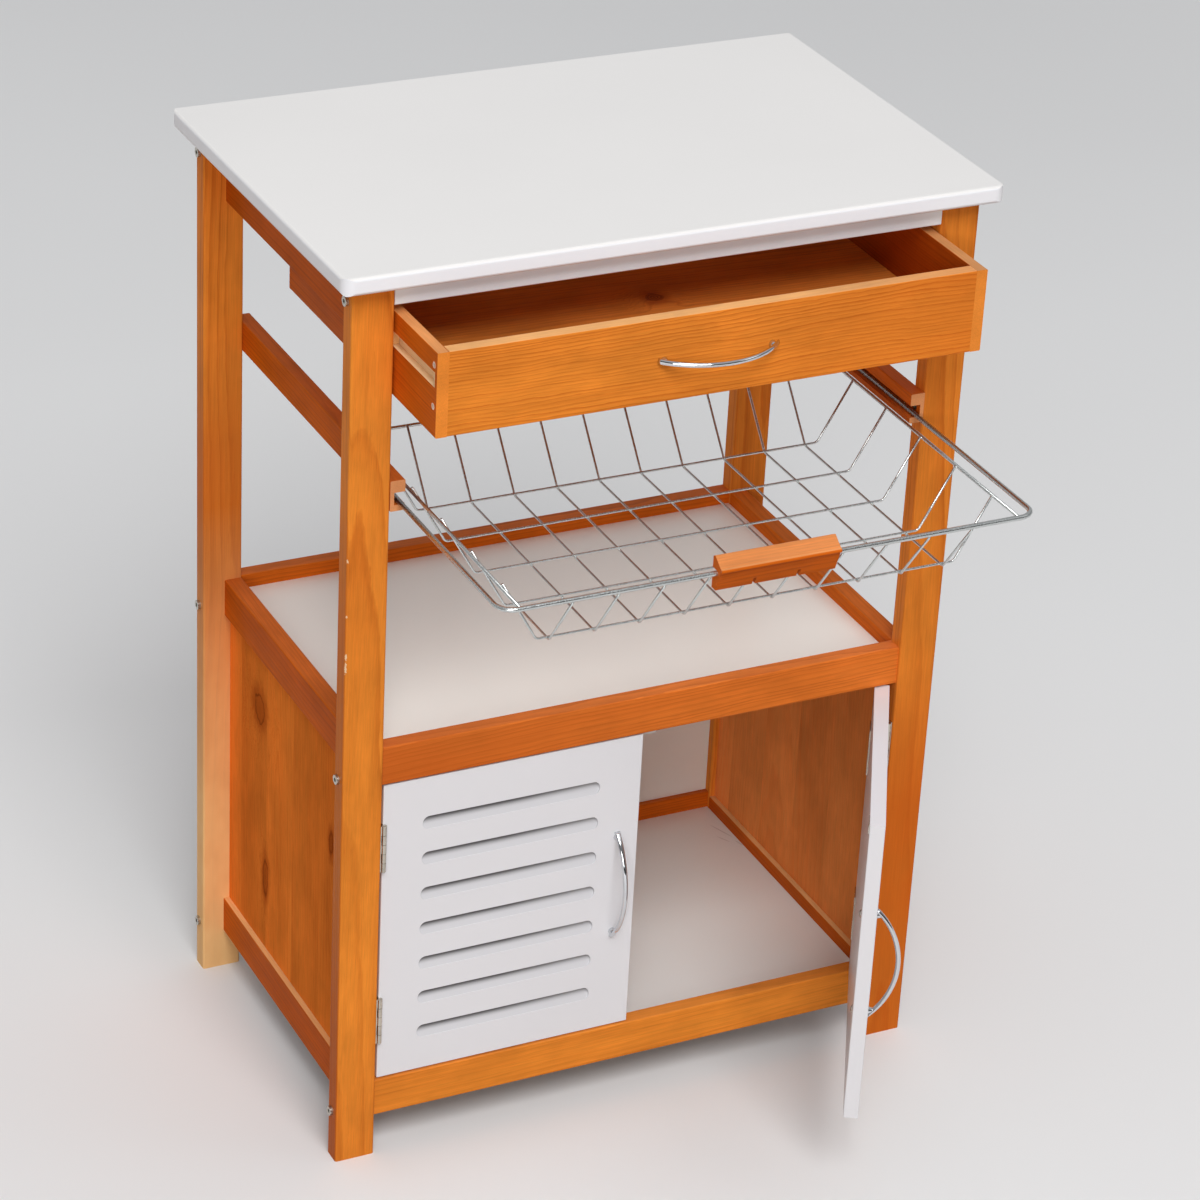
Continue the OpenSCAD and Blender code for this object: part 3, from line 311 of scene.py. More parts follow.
def toned(g, colour, mottle, tones_and_light):
    """Wood that takes on each tone, (axis number, start, end, colour, amount, side), from start to end; some
    are painted shade and painted light.
    """
    for axis, start, end, tone, most, side in tones_and_light:
        amount = g.remap(g.axes(g.coords)[axis], start * MM, end * MM, 0.0, most)
        if side:
            amount = g.math("MULTIPLY", amount, facing(g, "X", side * 0.5, side * 0.9))
        colour = g.mix(g.math("MULTIPLY", amount, g.remap(mottle, 0.3, 0.7, 0.7, 1.0)), colour, tone)
    return colour


def chipped(g, colour, chips):
    """Wood with bare spots of ragged outline, each (centre, size on each axis) in millimetres."""
    for centre, size in chips:
        away = g.length(g.vector("DIVIDE", g.from_point(centre), tuple(c * MM for c in size)))
        ragged = g.math("MULTIPLY_ADD", g.noise(g.coords, scale=700, detail=2), 1.2, away)
        colour = g.mix(g.remap(ragged, 1.35, 1.5, 1.0, 0.0), colour, CHIPPED)
    return colour


def pine(name, along, pith, tilt=(1.5, 1.0), ring=3.2, contrast=0.8, red=0.3, knots=(), boards=None,
         chips=(), early=EARLY_WOOD, late=LATE_WOOD, streaks=0.25, wave=1.0, painted_top_light=0.08, bare=None,
         tones_and_light=(), ends=None, gloss=0.06):
    """Pine whose yearly rings lie round the log's heart, so that each face shows the figure a saw would bare.

    Lengths are in millimetres.
    along      the axis that the grain runs along
    pith       the heart's place across the grain, and a shift along it; tilt is its lean in degrees
    ring       spacing of the rings; wave is how far they sway
    contrast   strength of late wood; red and streaks are those of reddish patches and of dark streaks
    knots      see knot_field
    boards     (axis number, width) where the piece is glued from narrow boards
    painted_top_light  how far up-facing faces are painted paler, a painted highlight of light from above
    bare       (low corner, high corner) of a box in which the wood is unstained
    tones_and_light  see toned; a side of -1 keeps a tone to faces that look to the left, and 0 gives it to
    all
    ends       colour of end grain
    chips      see chipped
    """
    g = Graph(name)
    log, board_tone = grain_frame(g, along, pith, tilt, boards)
    late_part, heart, halo = ring_pattern(g, log, ring, wave, knots)
    broad = g.noise(g.vector("MULTIPLY", log, (14, 14, 1.6)), detail=2)
    mottle = g.noise(g.vector("MULTIPLY", log, (26, 26, 12)), detail=3, roughness=0.6)
    fibre = g.noise(g.vector("MULTIPLY", log, (1100, 1100, 16)), detail=3, roughness=0.65)
    streak = g.noise(g.vector("MULTIPLY", log, (300, 300, 3.5)), detail=3, roughness=0.6)
    pores = g.remap(g.noise(g.vector("MULTIPLY", log, (1500, 1500, 60)), detail=1), 0.7, 0.78)

    strength = g.math("MULTIPLY", late_part, g.remap(broad, 0.3, 0.7, 0.6 * contrast, contrast))
    colour = g.mix(strength, early, late)
    colour = g.mix(g.remap(broad, 0.35, 0.7, 0.0, red), colour, RED_WOOD)
    colour = g.mix(g.remap(streak, 0.45, 0.72, 0.0, streaks), colour, late)
    colour = g.mix(g.math("MULTIPLY", pores, 0.3), colour, RED_WOOD)
    end_grain = g.math("MAXIMUM", facing(g, along, 0.7, 0.95), facing(g, along, -0.7, -0.95))
    colour = g.mix(g.math("MULTIPLY", end_grain, 0.75), colour, ends or early)
    # Up-facing faces painted paler: a painted highlight of light from above
    colour = g.mix(g.math("MULTIPLY", facing(g, "Z", 0.6, 0.95), painted_top_light), colour, PALE_WOOD)
    colour = g.mix(halo, colour, HALO_WOOD)
    colour = g.mix(heart, colour, KNOT_WOOD)
    shade = g.math("MULTIPLY", g.remap(fibre, 0.3, 0.75, 0.88, 1.08), g.remap(mottle, 0.3, 0.7, 0.84, 1.1))
    colour = g.shaded(colour, g.math("MULTIPLY", shade, board_tone))
    # Tones along the piece, some of them painted shade and painted light
    colour = toned(g, colour, mottle, tones_and_light)
    if bare:
        colour = g.mix(inside_box(g, *bare), colour, g.mix(strength, BARE_EARLY, BARE_LATE))
    colour = chipped(g, colour, chips)
    g.bump(g.math("MULTIPLY_ADD", fibre, 0.6, g.math("MULTIPLY", late_part, 0.5)), 0.2, 0.0002)
    return g.surface(Base_Color=colour, Roughness=g.remap(fibre, 0.3, 0.7, 0.4, 0.52),
                     Coat_Weight=0.4 * gloss, Coat_Roughness=0.2, Specular_IOR_Level=gloss)


# Painted shade in the doors' grooves, in metres: from and to which depth behind the face the grooves are
# taken to lie and the painted shade darkens, and how far from the doors' top and bottom edges both end
MASK_DEPTH = (0.00012, 0.005)
GROOVE_SHADE_DEPTH = (0.0014, 0.0037)
MASK_MARGIN = 0.015


def groove_depth(g, turn, pin):
    """How deep a point lies behind a door's face, whether it is in a groove, and how strong its painted shade
    may be.

    turn is the door's angle at rest about the pin, which stands at the right. At 0 it is the left door, which
    is seen mirrored.
    """
    if turn:
        shut = g.node("ShaderNodeMapping", {"Vector": g.coords, "Location": pin, "Rotation": (0, 0, turn)},
                      vector_type="TEXTURE")
        shut = g.vector("ADD", shut, pin)
    else:
        shut = g.vector("MULTIPLY", g.coords, (-1, 1, 1))
    x, y, z = g.axes(shut)
    depth = g.math("SUBTRACT", y, DOOR_FACE * MM)
    strength = g.remap(x, (GROOVE_MIDDLE - GROOVE_LENGTH / 2) * MM, GROOVE_MIDDLE * MM, 0.5, 1.0)
    along = g.math("COMPARE", x, GROOVE_MIDDLE * MM, GROOVE_LENGTH / 2 * MM + 0.001)
    low, high = (c.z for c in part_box("door_left"))
    upright = g.math("COMPARE", z, (low + high) / 2, (high - low) / 2 - MASK_MARGIN)
    mask = g.math("MULTIPLY", g.math("MULTIPLY", along, upright), g.math("LESS_THAN", depth, MASK_DEPTH[1]))
    return depth, g.math("MULTIPLY", mask, g.math("GREATER_THAN", depth, MASK_DEPTH[0])), strength


# Marks on white paint: a scratch, painted shade on a door's groove floor, and darker painted shade deep in it
SCRATCH = srgb(150, 145, 140)
GROOVE_FLOOR_SHADE = srgb(150, 149, 152)
GROOVE_SHADE_DARK = srgb(92, 90, 92)


def scratched(g, paint, scratches):
    """Paint with scratches, each (centre, half sizes, turn in degrees), in millimetres."""
    for centre, size, turn in scratches:
        spot = g.node("ShaderNodeMapping", {"Vector": g.coords, "Location": tuple(c * MM for c in centre),
                                            "Rotation": (0, 0, math.radians(turn)),
                                            "Scale": tuple(c * MM for c in size)}, vector_type="TEXTURE")
        paint = g.mix(g.remap(g.length(spot), 0.6, 1.0, 0.35, 0.0), paint, SCRATCH)
    return paint


def white_lacquer(name, colour, scratches=(), grooves=None, edge=None):
    """Smooth white paint on board, faintly uneven.

    grooves is (turn, pin) of a door, whose grooves get painted shade, the darker the deeper they are. edge is
    a cooler white given to a worktop's faces that don't look up.
    """
    g = Graph(name)
    paint = g.shaded(colour, g.remap(g.noise(g.coords, scale=5, detail=3), 0.3, 0.7, 0.98, 1.0))
    if edge:
        paint = g.mix(facing(g, "Z", 0.75, 0.3), paint, edge)
    paint = scratched(g, paint, scratches)
    if grooves:
        depth, mask, strength = groove_depth(g, *grooves)
        # Painted shade in a groove: its whole floor a little darker, and much darker where it lies deep
        deep_shade = g.math("MULTIPLY", mask, g.remap(depth, *GROOVE_SHADE_DEPTH, 0.0, 1.0, smooth=True))
        paint = g.mix(g.math("MULTIPLY", mask, 0.3), paint, GROOVE_FLOOR_SHADE)
        paint = g.mix(g.math("MULTIPLY", deep_shade, strength), paint, GROOVE_SHADE_DARK)
    g.bump(g.noise(g.coords, scale=260, detail=1), 0.03, 0.0001)
    return g.surface(Base_Color=paint, Roughness=0.34, Coat_Weight=0.1, Coat_Roughness=0.2)


def bright_metal(name, colour, roughness, wear=0.08):
    """Plated metal with hairline marks, slightly darker in places."""
    g = Graph(name)
    bloom = g.noise(g.coords, scale=60, detail=3)
    hairline = g.noise(g.vector("MULTIPLY", g.coords, (1900, 1900, 300)), detail=2)
    plated = g.shaded(colour, g.remap(bloom, 0.3, 0.7, 1.0 - wear, 1.0))
    g.bump(hairline, 0.06, 0.00005)
    level = g.remap(hairline, 0.3, 0.7, roughness * 0.7, roughness * 1.5)
    return g.surface(Base_Color=plated, Metallic=1.0, Roughness=level)


def dress(node, material):
    """Gives a CAD node its material."""
    piece = NODES[node]
    piece.data.materials.clear()
    piece.data.materials.append(material)


def mesh_object(name, bm, material, body):
    """Smooth-shaded piece of the scene from a bmesh, riding on a body."""
    data = bpy.data.meshes.new(name)
    bm.to_mesh(data)
    bm.free()
    piece = bpy.data.objects.new(name, data)
    bpy.context.scene.collection.objects.link(piece)
    data.materials.append(material)
    for polygon in data.polygons:
        polygon.use_smooth = True
    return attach(piece, body)


def rounded_path(points, bend, steps=7):
    """Points of a path whose inner corners are arcs of radius bend."""
    path = [points[0]]
    for before, corner, after in zip(points, points[1:], points[2:]):
        a = (before - corner).normalized()
        b = (after - corner).normalized()
        half = a.angle(b) / 2
        reach = bend / math.tan(half)
        centre = corner + (a + b).normalized() * (bend / math.sin(half))
        start = corner + a * reach - centre
        turn = start.rotation_difference(corner + b * reach - centre)
        for i in range(steps + 1):
            part = Matrix.Rotation(turn.angle * i / steps, 3, turn.axis)
            path.append(centre + part @ start)
    path.append(points[-1])
    return path


def sweep(bm, path, section, sides=12):
    """Skins a section along a path. section(i, count) gives its half sizes, level and upright, at point i."""
    count = len(path)
    tangents = [(path[min(i + 1, count - 1)] - path[max(i - 1, 0)]).normalized() for i in range(count)]
    up = Vector((0, 0, 1)) if abs(tangents[0].z) < 0.9 else Vector((1, 0, 0))
    side = tangents[0].cross(up).normalized()
    rings = []
    for i, (point, tangent) in enumerate(zip(path, tangents)):
        side = (side - tangent * side.dot(tangent)).normalized()
        up = side.cross(tangent)
        wide, high = section(i, count)
        ring = []
        for k in range(sides):
            angle = 2 * math.pi * k / sides
            place = point + side * (wide * math.cos(angle)) + up * (high * math.sin(angle))
            ring.append(bm.verts.new(place))
        rings.append(ring)
    for low, high in zip(rings, rings[1:]):
        for k in range(sides):
            bm.faces.new((low[k], low[(k + 1) % sides], high[(k + 1) % sides], high[k]))
    bm.faces.new(tuple(reversed(rings[0])))
    bm.faces.new(tuple(rings[-1]))


# Downward, the front left leg's left face darkens with painted shade, the front right leg reddens, and the
# back left leg deepens and then pales with a painted glow. The front left leg is chipped along its front left
# edge
LEG_TONES_AND_PAINTED_LIGHT = {"leg_front_left": [(2, 660, 520, DEEP_WOOD, 0.5, -1), (2, 300, 120, DEEP_WOOD, 0.5, -1)],
             "leg_front_right": [(2, 420, 240, RED_WOOD, 0.7, 0)],
             "leg_back_left": [(2, 660, 540, DEEP_WOOD, 0.5, 0), (2, 480, 140, PAINTED_LOW_GLOW, 0.95, 0)]}
LEG_CHIPS = {"leg_front_left": [((-280, -171, 587), (1.6, 1.6, 3)), ((-280, -171, 537), (1.4, 1.4, 2)),
                                ((-280, -171, 500), (1.8, 1.6, 4)), ((-280, -171, 489), (1.8, 1.8, 7))]}


def dress_legs():
    """Legs, each from its own log, whose heart lies near the leg."""
    for seed, name in enumerate(("leg_front_left", "leg_front_right", "leg_back_left", "leg_back_right")):
        side = 1 if seed % 2 else -1
        heart = (side * 262 + 14 * (seed - 1.5), -120 if seed < 2 else 120, 900 + 700 * seed)
        dress(name, pine(name + "_pine", "Z", heart, tilt=(1.6 - 0.5 * seed, 1.1 * side), ring=6.0,
                         contrast=0.7, streaks=0.15, chips=LEG_CHIPS.get(name, ()),
                         tones_and_light=LEG_TONES_AND_PAINTED_LIGHT.get(name, ())))


def dress_cross_rails():
    """Rails from side to side: the front ones are lighter, and the front middle one deepens to the left."""
    woods = {"low_rail_front": (EARLY_WOOD, LATE_WOOD), "mid_rail_front": (MID_RAIL_EARLY, MID_RAIL_LATE)}
    names = ("mid_rail_front", "low_rail_front", "mid_rail_back", "low_rail_back", "back_apron")
    for seed, name in enumerate(names):
        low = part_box(name)[0] / MM
        heart = (low.y + 40, low.z - 60 - 25 * seed, 400 * seed)
        early, late = woods.get(name, (DARK_EARLY, DARK_LATE))
        light = name == "low_rail_front"
        dress(name, pine(name + "_pine", "X", heart, tilt=(1.2 - 0.6 * seed, 0.8), ring=6.0 if light else 3.8,
                         contrast=0.45 if light else 0.75, red=0.3 if light else 0.45, streaks=0.15, wave=1.4,
                         early=early, late=late,
                         tones_and_light=[(0, 60, -200, DEEP_WOOD, 0.6, 0)] if name == "mid_rail_front" else ()))


def dress_side_rails():
    """Rails and basket runners that run from front to back: the low rails get a strong painted highlight on
    top.
    """
    names = ("mid_rail_left", "mid_rail_right", "low_rail_left", "low_rail_right",
             "top_rail_left", "top_rail_right", "basket_runner_left", "basket_runner_right")
    for seed, name in enumerate(names):
        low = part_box(name)[0] / MM
        heart = (low.x - 70 + 9 * seed, low.z - 30, 300 * seed)
        dress(name, pine(name + "_pine", "Y", heart, tilt=(1.4, -1.0 + 0.3 * seed), ring=3.3, contrast=0.6,
                         red=0.5, streaks=0.15, early=DARK_EARLY, late=DARK_LATE, gloss=0.03,
                         painted_top_light=0.9 if "low" in name else 0.08,
                         ends=RUNNER_END if "runner" in name else None))


PANEL_KNOTS = [((-254, 80, 313), (0, 1, 0.75), 10, 0.1), ((-254, 63, 148), (0, 1, 0.3), 5, 0.3),
               ((-254, -88, 271), (0, 1, 0.4), 4, 0.4)]
PANEL_BOARD = 62.0


def dress_panels():
    """Side panels glued from narrow upright boards; the left one has three knots."""
    # The right panel takes the lighter inner pair: painted light inside the cabinet
    for name, side, early, late, knots in (("side_panel_left", -1, PANEL_EARLY, PANEL_LATE, PANEL_KNOTS),
                                           ("side_panel_right", 1, INNER_LIT_EARLY, INNER_LIT_LATE, ())):
        dress(name, pine(name + "_pine", "Z", (side * 190, 20, 500), tilt=(1.4, 2.2), ring=3.6, contrast=0.6,
                         red=0.2, early=early, late=late, streaks=0.15, gloss=0.0, boards=(1, PANEL_BOARD),
                         knots=knots))


# The unstained groove of a drawer side, in millimetres and a little more than its size: its depth, its start
# behind the side's front, and its top and bottom below the side's top
DRAWER_GROOVE = {"deep": 6.2, "start": 4, "top": 17.7, "bottom": 30.3}


def groove_of_drawer(side):
    """Box round the unstained groove in a drawer side, in millimetres; side is -1 at the left."""
    low, high = (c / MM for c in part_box("drawer_side_right"))
    xs = sorted((side * (high.x - DRAWER_GROOVE["deep"]), side * (high.x + 1)))
    return ((xs[0], low.y + DRAWER_GROOVE["start"], high.z - DRAWER_GROOVE["bottom"]),
            (xs[1], high.y + 1, high.z - DRAWER_GROOVE["top"]))


def dress_drawer():
    """Drawer: a front with lively figure, darker sides, the right one darker still with painted shade, and a
    bottom with one knot.
    """
    dress("drawer_front", pine("drawer_front_pine", "X", (-250, 560, 0), tilt=(0.9, 0.3), ring=3.4,
                               contrast=0.8, red=0.2, streaks=0.2, wave=2.2, painted_top_light=0.75,
                               tones_and_light=[(0, 40, 230, RED_WOOD, 0.3, 0)]))
    # The right side's darker wood is painted shade on its inner face
    for name, side, seed, red, early, late in (
            ("drawer_side_left", -1, 0, 0.7, DARK_EARLY, DARK_LATE),
            ("drawer_side_right", 1, 1, 0.2, DRAWER_SHADE_EARLY, DRAWER_SHADE_LATE)):
        dress(name, pine(name + "_pine", "Y", (side * 237, 420, 900 * seed), tilt=(1.0, 0.6), ring=3.2,
                         contrast=0.6, red=red, early=early, late=late, painted_top_light=0.5,
                         bare=groove_of_drawer(side), ends=SIDE_END))
    dress("drawer_back", pine("drawer_back_pine", "X", (60, 700, 0), ring=3.6, contrast=0.7, red=0.4))
    dress("drawer_bottom", pine("drawer_bottom_pine", "X", (0, 690, 0), tilt=(2.0, 0.5), ring=5.0,
                                contrast=0.7, red=0.4, knots=[((20, -98, 742), (1, 1, 0), 7, 0.8)]))


def dress_small_wood():
    """Unstained drawer runners and dowels, and the basket's stained grip."""
    for name in ("drawer_runner_left", "drawer_runner_right"):
        dress(name, pine(name + "_pine", "Y", (200, 720, 0), ring=3.0, contrast=0.5, red=0.1,
                         early=PALE_WOOD))
    dress("basket_grip", pine("basket_grip_pine", "X", (-395, 600, 40), tilt=(1.0, 1.4), ring=3.0,
                              contrast=0.6, red=0.4, early=DARK_EARLY, late=DARK_LATE, painted_top_light=0.55))
    dress("dowels", pine("dowel_wood", "Y", (200, 0, 0), ring=2.0, contrast=0.2, red=0.0, early=PALE_WOOD,
                         late=DOWEL_LATE))


WHITE = srgb(240, 238, 236)
EDGE_WHITE = srgb(243, 246, 252)
# Apron white: a brighter, cooler copy of the board white, painted light against the worktop's shade and warm
# bounce
LIT_APRON_WHITE = srgb(244, 250, 255)
BOARD_WHITE = srgb(241, 239, 233)
# Open shelf white: a lighter copy of the board white, painted light against the drawer's shadow on it
LIT_SHELF_WHITE = srgb(251, 248, 241)
SHELF_WHITE = srgb(240, 238, 235)
DOOR_WHITE = srgb(236, 237, 242)
PLASTIC_WHITE = srgb(236, 236, 234)
SHELF_SCRATCHES = [((236, 110, 61), (1.0, 17, 8), 20), ((231, 96, 61), (0.8, 9, 8), 28),
                   ((242, 84, 61), (0.8, 7, 8), 15)]


def dress_boards():
    """White boards: worktop, apron, shelves, back panel and doors, and the catch's plastic body."""
    dress("worktop", white_lacquer("worktop_white", WHITE, edge=EDGE_WHITE))
    dress("front_apron", white_lacquer("apron_white", LIT_APRON_WHITE))
    dress("mid_shelf", white_lacquer("open_shelf_white", LIT_SHELF_WHITE))
    dress("bottom_shelf", white_lacquer("shelf_white", SHELF_WHITE, scratches=SHELF_SCRATCHES))
    dress("back_panel", white_lacquer("board_white", BOARD_WHITE))
    dress("door_left", white_lacquer("left_door_white", DOOR_WHITE, grooves=(0, None)))
    dress("door_right", white_lacquer("right_door_white", DOOR_WHITE,
                                      grooves=(RIGHT_OPEN, joint_place("right_door_hinge"))))
    dress("catch_body", white_lacquer("catch_plastic", PLASTIC_WHITE))


chrome_wire = bright_metal("chrome_wire", srgb(206, 209, 208), 0.24)
chrome_handle = bright_metal("chrome_handle", srgb(216, 218, 221), 0.06, wear=0.03)


def dress_metal():
    """Hinges of bright nickel, drawer screws of pale nickel, and the rest of zinc-plated steel."""
    hinge_nickel = bright_metal("hinge_nickel", srgb(206, 198, 184), 0.16, wear=0.25)
    steel = bright_metal("zinc_steel", srgb(200, 196, 186), 0.28, wear=0.15)
    for name in ("hinge_frame_leaves", "hinge_pins", "hinge_leaves_left", "hinge_leaves_right"):
        dress(name, hinge_nickel)
    for name in ("leg_bolts", "barrel_nuts", "top_brackets", "frame_screws", "door_screws_left",
                 "door_screws_right", "strike_plate_left", "strike_plate_right", "catch_poles"):
        dress(name, steel)
    dress("drawer_screws", bright_metal("screw_nickel", srgb(236, 232, 224), 0.32, wear=0.1))


dress_legs()
dress_cross_rails()
dress_side_rails()
dress_panels()
dress_drawer()
dress_small_wood()
dress_boards()
dress_metal()


def bow_arc(steps=44):
    """Middle line of a bow whose ends lie in the board's face; x is along it and y away from the board."""
    half = BOW_LENGTH / 2 * MM
    reach = BOW_REACH * MM
    outer = (half * half + reach * reach) / (2 * reach)
    radius = outer - BOW_THICKNESS / 2 * MM
    widest = math.acos((outer - reach) / radius)
    path = []
    for i in range(steps + 1):
        angle = widest * (2 * i / steps - 1)
        path.append(Vector((radius * math.sin(angle), radius * math.cos(angle) - (outer - reach), 0)))
    return path


def bow_section(i, count):
    """Half sizes of a bow's section: round in the middle, flatter and broader at the ends."""
    end = abs(2 * i / (count - 1) - 1) ** 3
    half = BOW_THICKNESS / 2 * MM
    return half * (1 - 0.22 * end), half * (1 + 0.32 * end)


# Collar round each of a bow's screws, as (height above the board, radius), in millimetres
COLLAR = ((0.0, 3.4), (0.6, 3.3), (2.0, 2.7), (5.0, 1.9))


def handle(name, node, body, place, outward, along):
    """Chrome bow on a board. place is on the board's face, midway between the screws."""
    across = outward.cross(along)
    bm = bmesh.new()
    sweep(bm, bow_arc(), bow_section)
    for s in (-1, 1):
        foot = [Vector((s * BOW_PITCH / 2 * MM, height * MM, 0)) for height, radius in COLLAR]
        sweep(bm, foot, lambda i, count: (COLLAR[i][1] * MM, COLLAR[i][1] * MM))
    for vert in bm.verts:
        vert.co.y = max(vert.co.y, 0.0)
        vert.co = place + along * vert.co.x + outward * vert.co.y + across * vert.co.z
    bmesh.ops.recalc_face_normals(bm, faces=bm.faces)
    piece = mesh_object(name, bm, chrome_handle, body)
    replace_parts(piece, node)


def handle_place(node):
    """Point of the board's face behind the middle of a handle that faces forward."""
    low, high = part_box(node)
    return Vector(((low.x + high.x) / 2, high.y, (low.z + high.z) / 2))


# The right door's handle mirrors the left one's and then swings open with the door
FORWARD = Vector((0, -1, 0))
UPWARD = Vector((0, 0, 1))
left_place = handle_place("door_handle_left")
pin = joint_place("right_door_hinge")
swing = Matrix.Translation(pin) @ Matrix.Rotation(RIGHT_OPEN, 4, "Z") @ Matrix.Translation(-pin)
right_place = swing @ Vector((-left_place.x, left_place.y, left_place.z))
handle("drawer_bow", "drawer_handle", "drawer", handle_place("drawer_handle"), FORWARD, Vector((1, 0, 0)))
handle("left_door_bow", "door_handle_left", "left_door", left_place, FORWARD, UPWARD)
handle("right_door_bow", "door_handle_right", "right_door", right_place, swing.to_3x3() @ FORWARD, UPWARD)


# Wire basket: rod, rim and mesh from the boxes of their CAD nodes, with weld metal where wires cross
rod_low, rod_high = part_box("basket_rod")
rim_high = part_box("basket_rim")[1]
rod_x = rod_high.x - ROD / 2
rod_y = rod_low.y + ROD / 2
rod_z = (rod_low.z + rod_high.z) / 2
rim_x = rim_high.x - RIM / 2
rim_y = rim_high.y - RIM / 2
rim_front = rod_y + ROD / 2 - WELD
in_rim = (RIM + WIRE) / 2 - WELD
under_rod = rod_z - (ROD + WIRE) / 2 + WELD
wire_top = rod_z + RIM / 2
floor_x = rim_x - FLOOR_FROM_SIDE
floor_front = rod_y + FLOOR_FROM_ROD
floor_back = rim_y - FLOOR_FROM_BACK
floor_z = rod_z - FLOOR_DROP
cross_z = floor_z + WIRE - WELD
long_xs = [(i - (LONG_COUNT - 1) / 2) * LONG_PITCH for i in range(LONG_COUNT)]
cross_ys = [(floor_front + floor_back) / 2 + (i - (CROSS_COUNT - 1) / 2) * CROSS_PITCH
            for i in range(CROSS_COUNT)]


def wires(name, node, paths, diameter, bend):
    """Bent chrome wires of one diameter, in place of a CAD node."""
    bm = bmesh.new()
    for points in paths:
        sweep(bm, rounded_path(points, bend), lambda i, count: (diameter / 2, diameter / 2))
    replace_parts(mesh_object(name, bm, chrome_wire, "basket"), node)


def u_bend(x, ends_y, cross_y):
    """Level path with two arms, from ends_y to cross_y."""
    corners = ((-x, ends_y), (-x, cross_y), (x, cross_y), (x, ends_y))
    return [Vector((x, y, rod_z)) for x, y in corners]


def long_wire(x):
    """From under the rod down to the mesh's floor, back and up to the rim."""
    return [Vector((x, rod_y, under_rod)), Vector((x, floor_front, floor_z)),
            Vector((x, floor_back, floor_z)), Vector((x, rim_y - in_rim, wire_top))]


def cross_wire(y):
    """From the rim's left arm down to the mesh's floor, across and up to the right arm."""
    return [Vector((-rim_x + in_rim, y, wire_top)), Vector((-floor_x, y, cross_z)),
            Vector((floor_x, y, cross_z)), Vector((rim_x - in_rim, y, wire_top))]


def nugget(bm, place, size, flat=0.7):
    """Small flattened blob of weld metal."""
    shape = Matrix.Translation(place) @ Matrix.Diagonal((size, size, size * flat, 1))
    bmesh.ops.create_icosphere(bm, subdivisions=2, radius=1.0, matrix=shape)


# Half sizes of the weld metal on the mesh's floor, at the rod, on the rim and at the rim's ends
FLOOR_BEAD = 1.15 * MM
ROD_BEAD = 1.5 * MM
RIM_BEAD = 1.3 * MM
END_BEAD = 1.9 * MM


def basket_welds():
    """Weld metal wherever two of the basket's wires meet."""
    bm = bmesh.new()
    bead_z = rod_z + 0.5 * MM
    for x in long_xs:
        for y in cross_ys:
            nugget(bm, Vector((x, y, (floor_z + cross_z) / 2)), FLOOR_BEAD, flat=1.1)
        nugget(bm, Vector((x, rod_y + 0.6 * MM, rod_z - ROD / 2)), ROD_BEAD)
        nugget(bm, Vector((x, rim_y - RIM / 2, bead_z)), RIM_BEAD)
    for y in cross_ys:
        for s in (-1, 1):
            nugget(bm, Vector((s * (rim_x - RIM / 2), y, bead_z)), RIM_BEAD)
    for s in (-1, 1):
        nugget(bm, Vector((s * rim_x, rod_y + ROD / 2, rod_z)), END_BEAD)
    mesh_object("basket_welds", bm, chrome_wire, "basket")


wires("basket_rod_chrome", "basket_rod", [u_bend(rod_x, rod_high.y, rod_y)], ROD, ROD_BEND)
wires("basket_rim_chrome", "basket_rim", [u_bend(rim_x, rim_front, rim_y)], RIM, ROD_BEND)
wires("basket_long_chrome", "basket_long_wires", [long_wire(x) for x in long_xs], WIRE, MESH_BEND)
wires("basket_cross_chrome", "basket_cross_wires", [cross_wire(y) for y in cross_ys], WIRE, MESH_BEND)
basket_welds()


# Plain studio: a main lamp above the front, a low one at front left and a faint one at the right
LAMP_TARGET = Vector((0, -0.1, 0.45))


def lamp(name, azimuth, elevation, distance, size, power):
    """Area lamp at an azimuth from the front, positive to the right, and an elevation, both in degrees."""
    turn, rise = math.radians(azimuth), math.radians(elevation)
    away = Vector((math.sin(turn) * math.cos(rise), -math.cos(turn) * math.cos(rise), math.sin(rise)))
    place = LAMP_TARGET + away * distance
    data = bpy.data.lights.new(name, "AREA")
    data.shape = "RECTANGLE"
    data.size, data.size_y = size
    data.energy = power
    lamp_object = bpy.data.objects.new(name, data)
    lamp_object.location = place
    lamp_object.rotation_euler = (LAMP_TARGET - place).to_track_quat("-Z", "Y").to_euler()
    bpy.context.scene.collection.objects.link(lamp_object)


lamp("main", -12, 51, 9, (4.2, 4.2), 510)
lamp("front", -30, 14, 9, (4.0, 2.6), 215)
lamp("right", 60, 35, 9, (3.2, 3.2), 30)


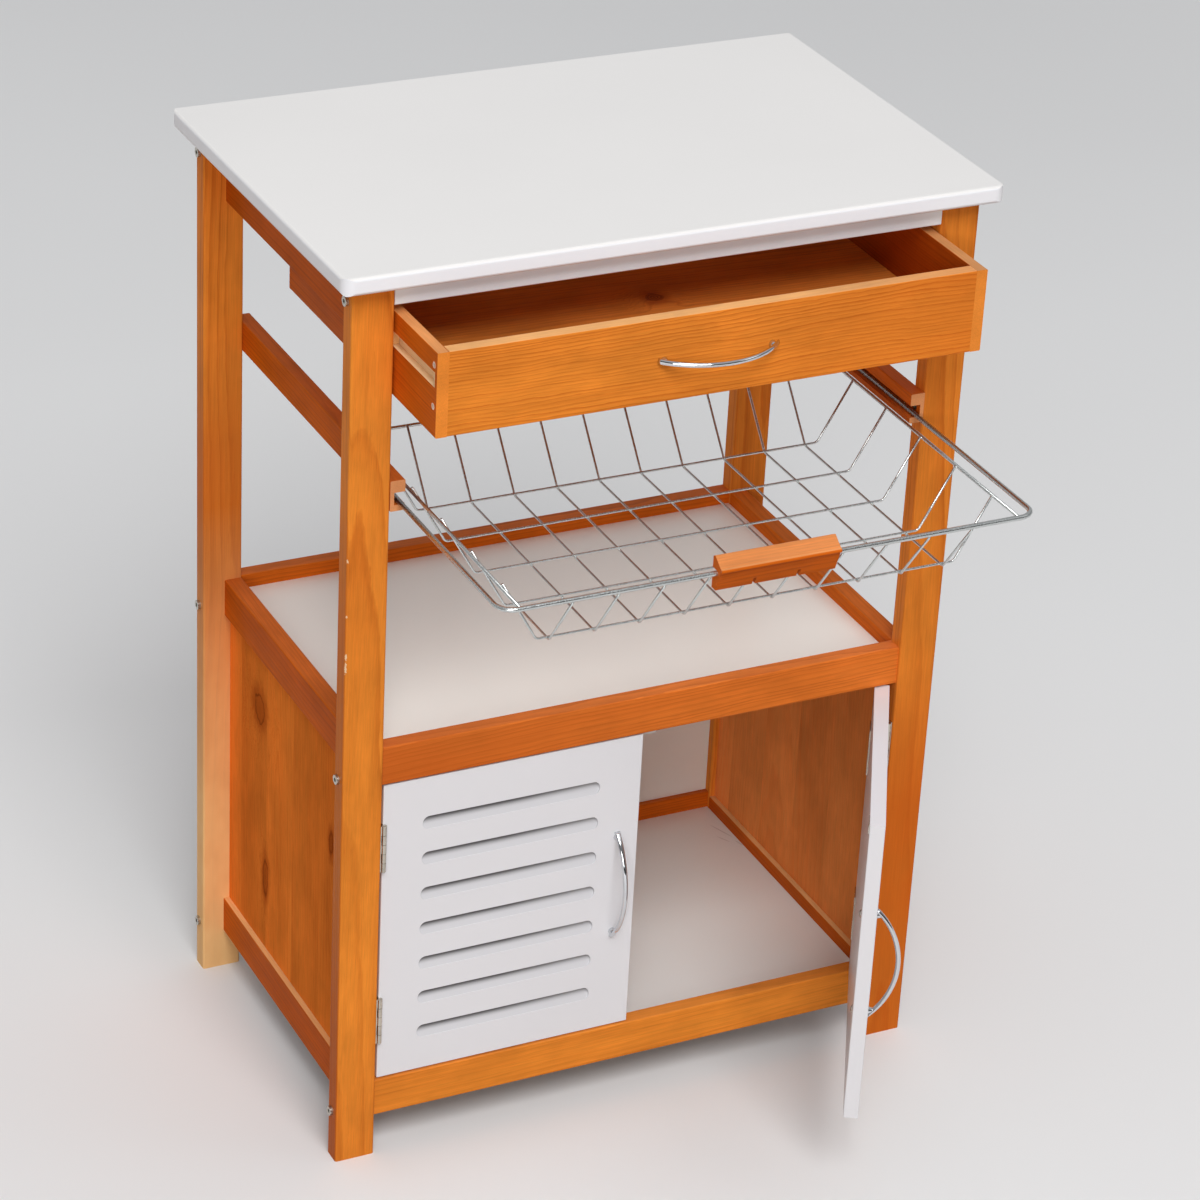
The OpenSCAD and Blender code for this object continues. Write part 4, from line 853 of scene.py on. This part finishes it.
def studio_world(dim, bright):
    """Soft surround, bright above and behind and dim on the camera's side, so that metal shows both."""
    world = bpy.data.worlds.new("studio")
    world.use_nodes = True
    nodes, links = world.node_tree.nodes, world.node_tree.links
    split = nodes.new("ShaderNodeSeparateXYZ")
    links.new(nodes.new("ShaderNodeTexCoord").outputs["Generated"], split.inputs[0])
    lean = nodes.new("ShaderNodeMath")
    lean.operation = "MULTIPLY_ADD"
    links.new(split.outputs["Y"], lean.inputs[0])
    lean.inputs[1].default_value = 0.5
    links.new(split.outputs["Z"], lean.inputs[2])
    ramp = nodes.new("ShaderNodeMapRange")
    ramp.interpolation_type = "SMOOTHSTEP"
    links.new(lean.outputs[0], ramp.inputs[0])
    for index, value in ((1, -0.35), (2, 0.75), (3, dim), (4, bright)):
        ramp.inputs[index].default_value = value
    background = nodes["Background"]
    background.inputs["Color"].default_value = (0.97, 0.98, 1.0, 1)
    links.new(ramp.outputs[0], background.inputs["Strength"])
    bpy.context.scene.world = world


FLOOR_BOUNCE = (0.30, 0.21, 0.15, 1)
FLOOR_RADIUS = 14


def pale_floor():
    """Floor that looks pale, and throws little, warm light back up on the object, as a wooden floor does."""
    bm = bmesh.new()
    bmesh.ops.create_circle(bm, cap_ends=True, segments=96, radius=FLOOR_RADIUS)
    data = bpy.data.meshes.new("floor")
    bm.to_mesh(data)
    bm.free()
    floor = bpy.data.objects.new("floor", data)
    bpy.context.scene.collection.objects.link(floor)
    g = Graph("floor_paint")
    grey = g.remap(g.noise(g.coords, scale=0.7, detail=2), 0.3, 0.7, 0.8, 0.83)
    ray = g.node("ShaderNodeLightPath", {}).node
    seen = g.math("MAXIMUM", ray.outputs["Is Camera Ray"], ray.outputs["Is Glossy Ray"])
    seen = g.math("MAXIMUM", seen, ray.outputs["Is Transmission Ray"])
    colour = g.mix(seen, FLOOR_BOUNCE, g.join(grey, grey, grey))
    data.materials.append(g.surface(Base_Color=colour, Roughness=0.65))


def photo_camera():
    """Camera at the photograph's place and angle."""
    level_way = Vector((math.sin(CAMERA_YAW), math.cos(CAMERA_YAW), 0))
    forward = level_way * math.cos(CAMERA_PITCH) + Vector((0, 0, math.sin(CAMERA_PITCH)))
    level = Vector((math.cos(CAMERA_YAW), -math.sin(CAMERA_YAW), 0))
    upward = level.cross(forward)
    right = level * math.cos(CAMERA_ROLL) + upward * math.sin(CAMERA_ROLL)
    top = upward * math.cos(CAMERA_ROLL) - level * math.sin(CAMERA_ROLL)
    data = bpy.data.cameras.new("camera")
    data.lens = CAMERA_LENS
    data.sensor_width = SENSOR
    camera = bpy.data.objects.new("camera", data)
    turn = Matrix((right, top, -forward)).transposed().to_4x4()
    camera.matrix_world = Matrix.Translation(CAMERA_PLACE) @ turn
    bpy.context.scene.collection.objects.link(camera)
    bpy.context.scene.camera = camera


studio_world(0.036, 0.48)
pale_floor()
photo_camera()
bpy.context.scene.view_settings.view_transform = "Standard"

bpy.context.view_layer.update()
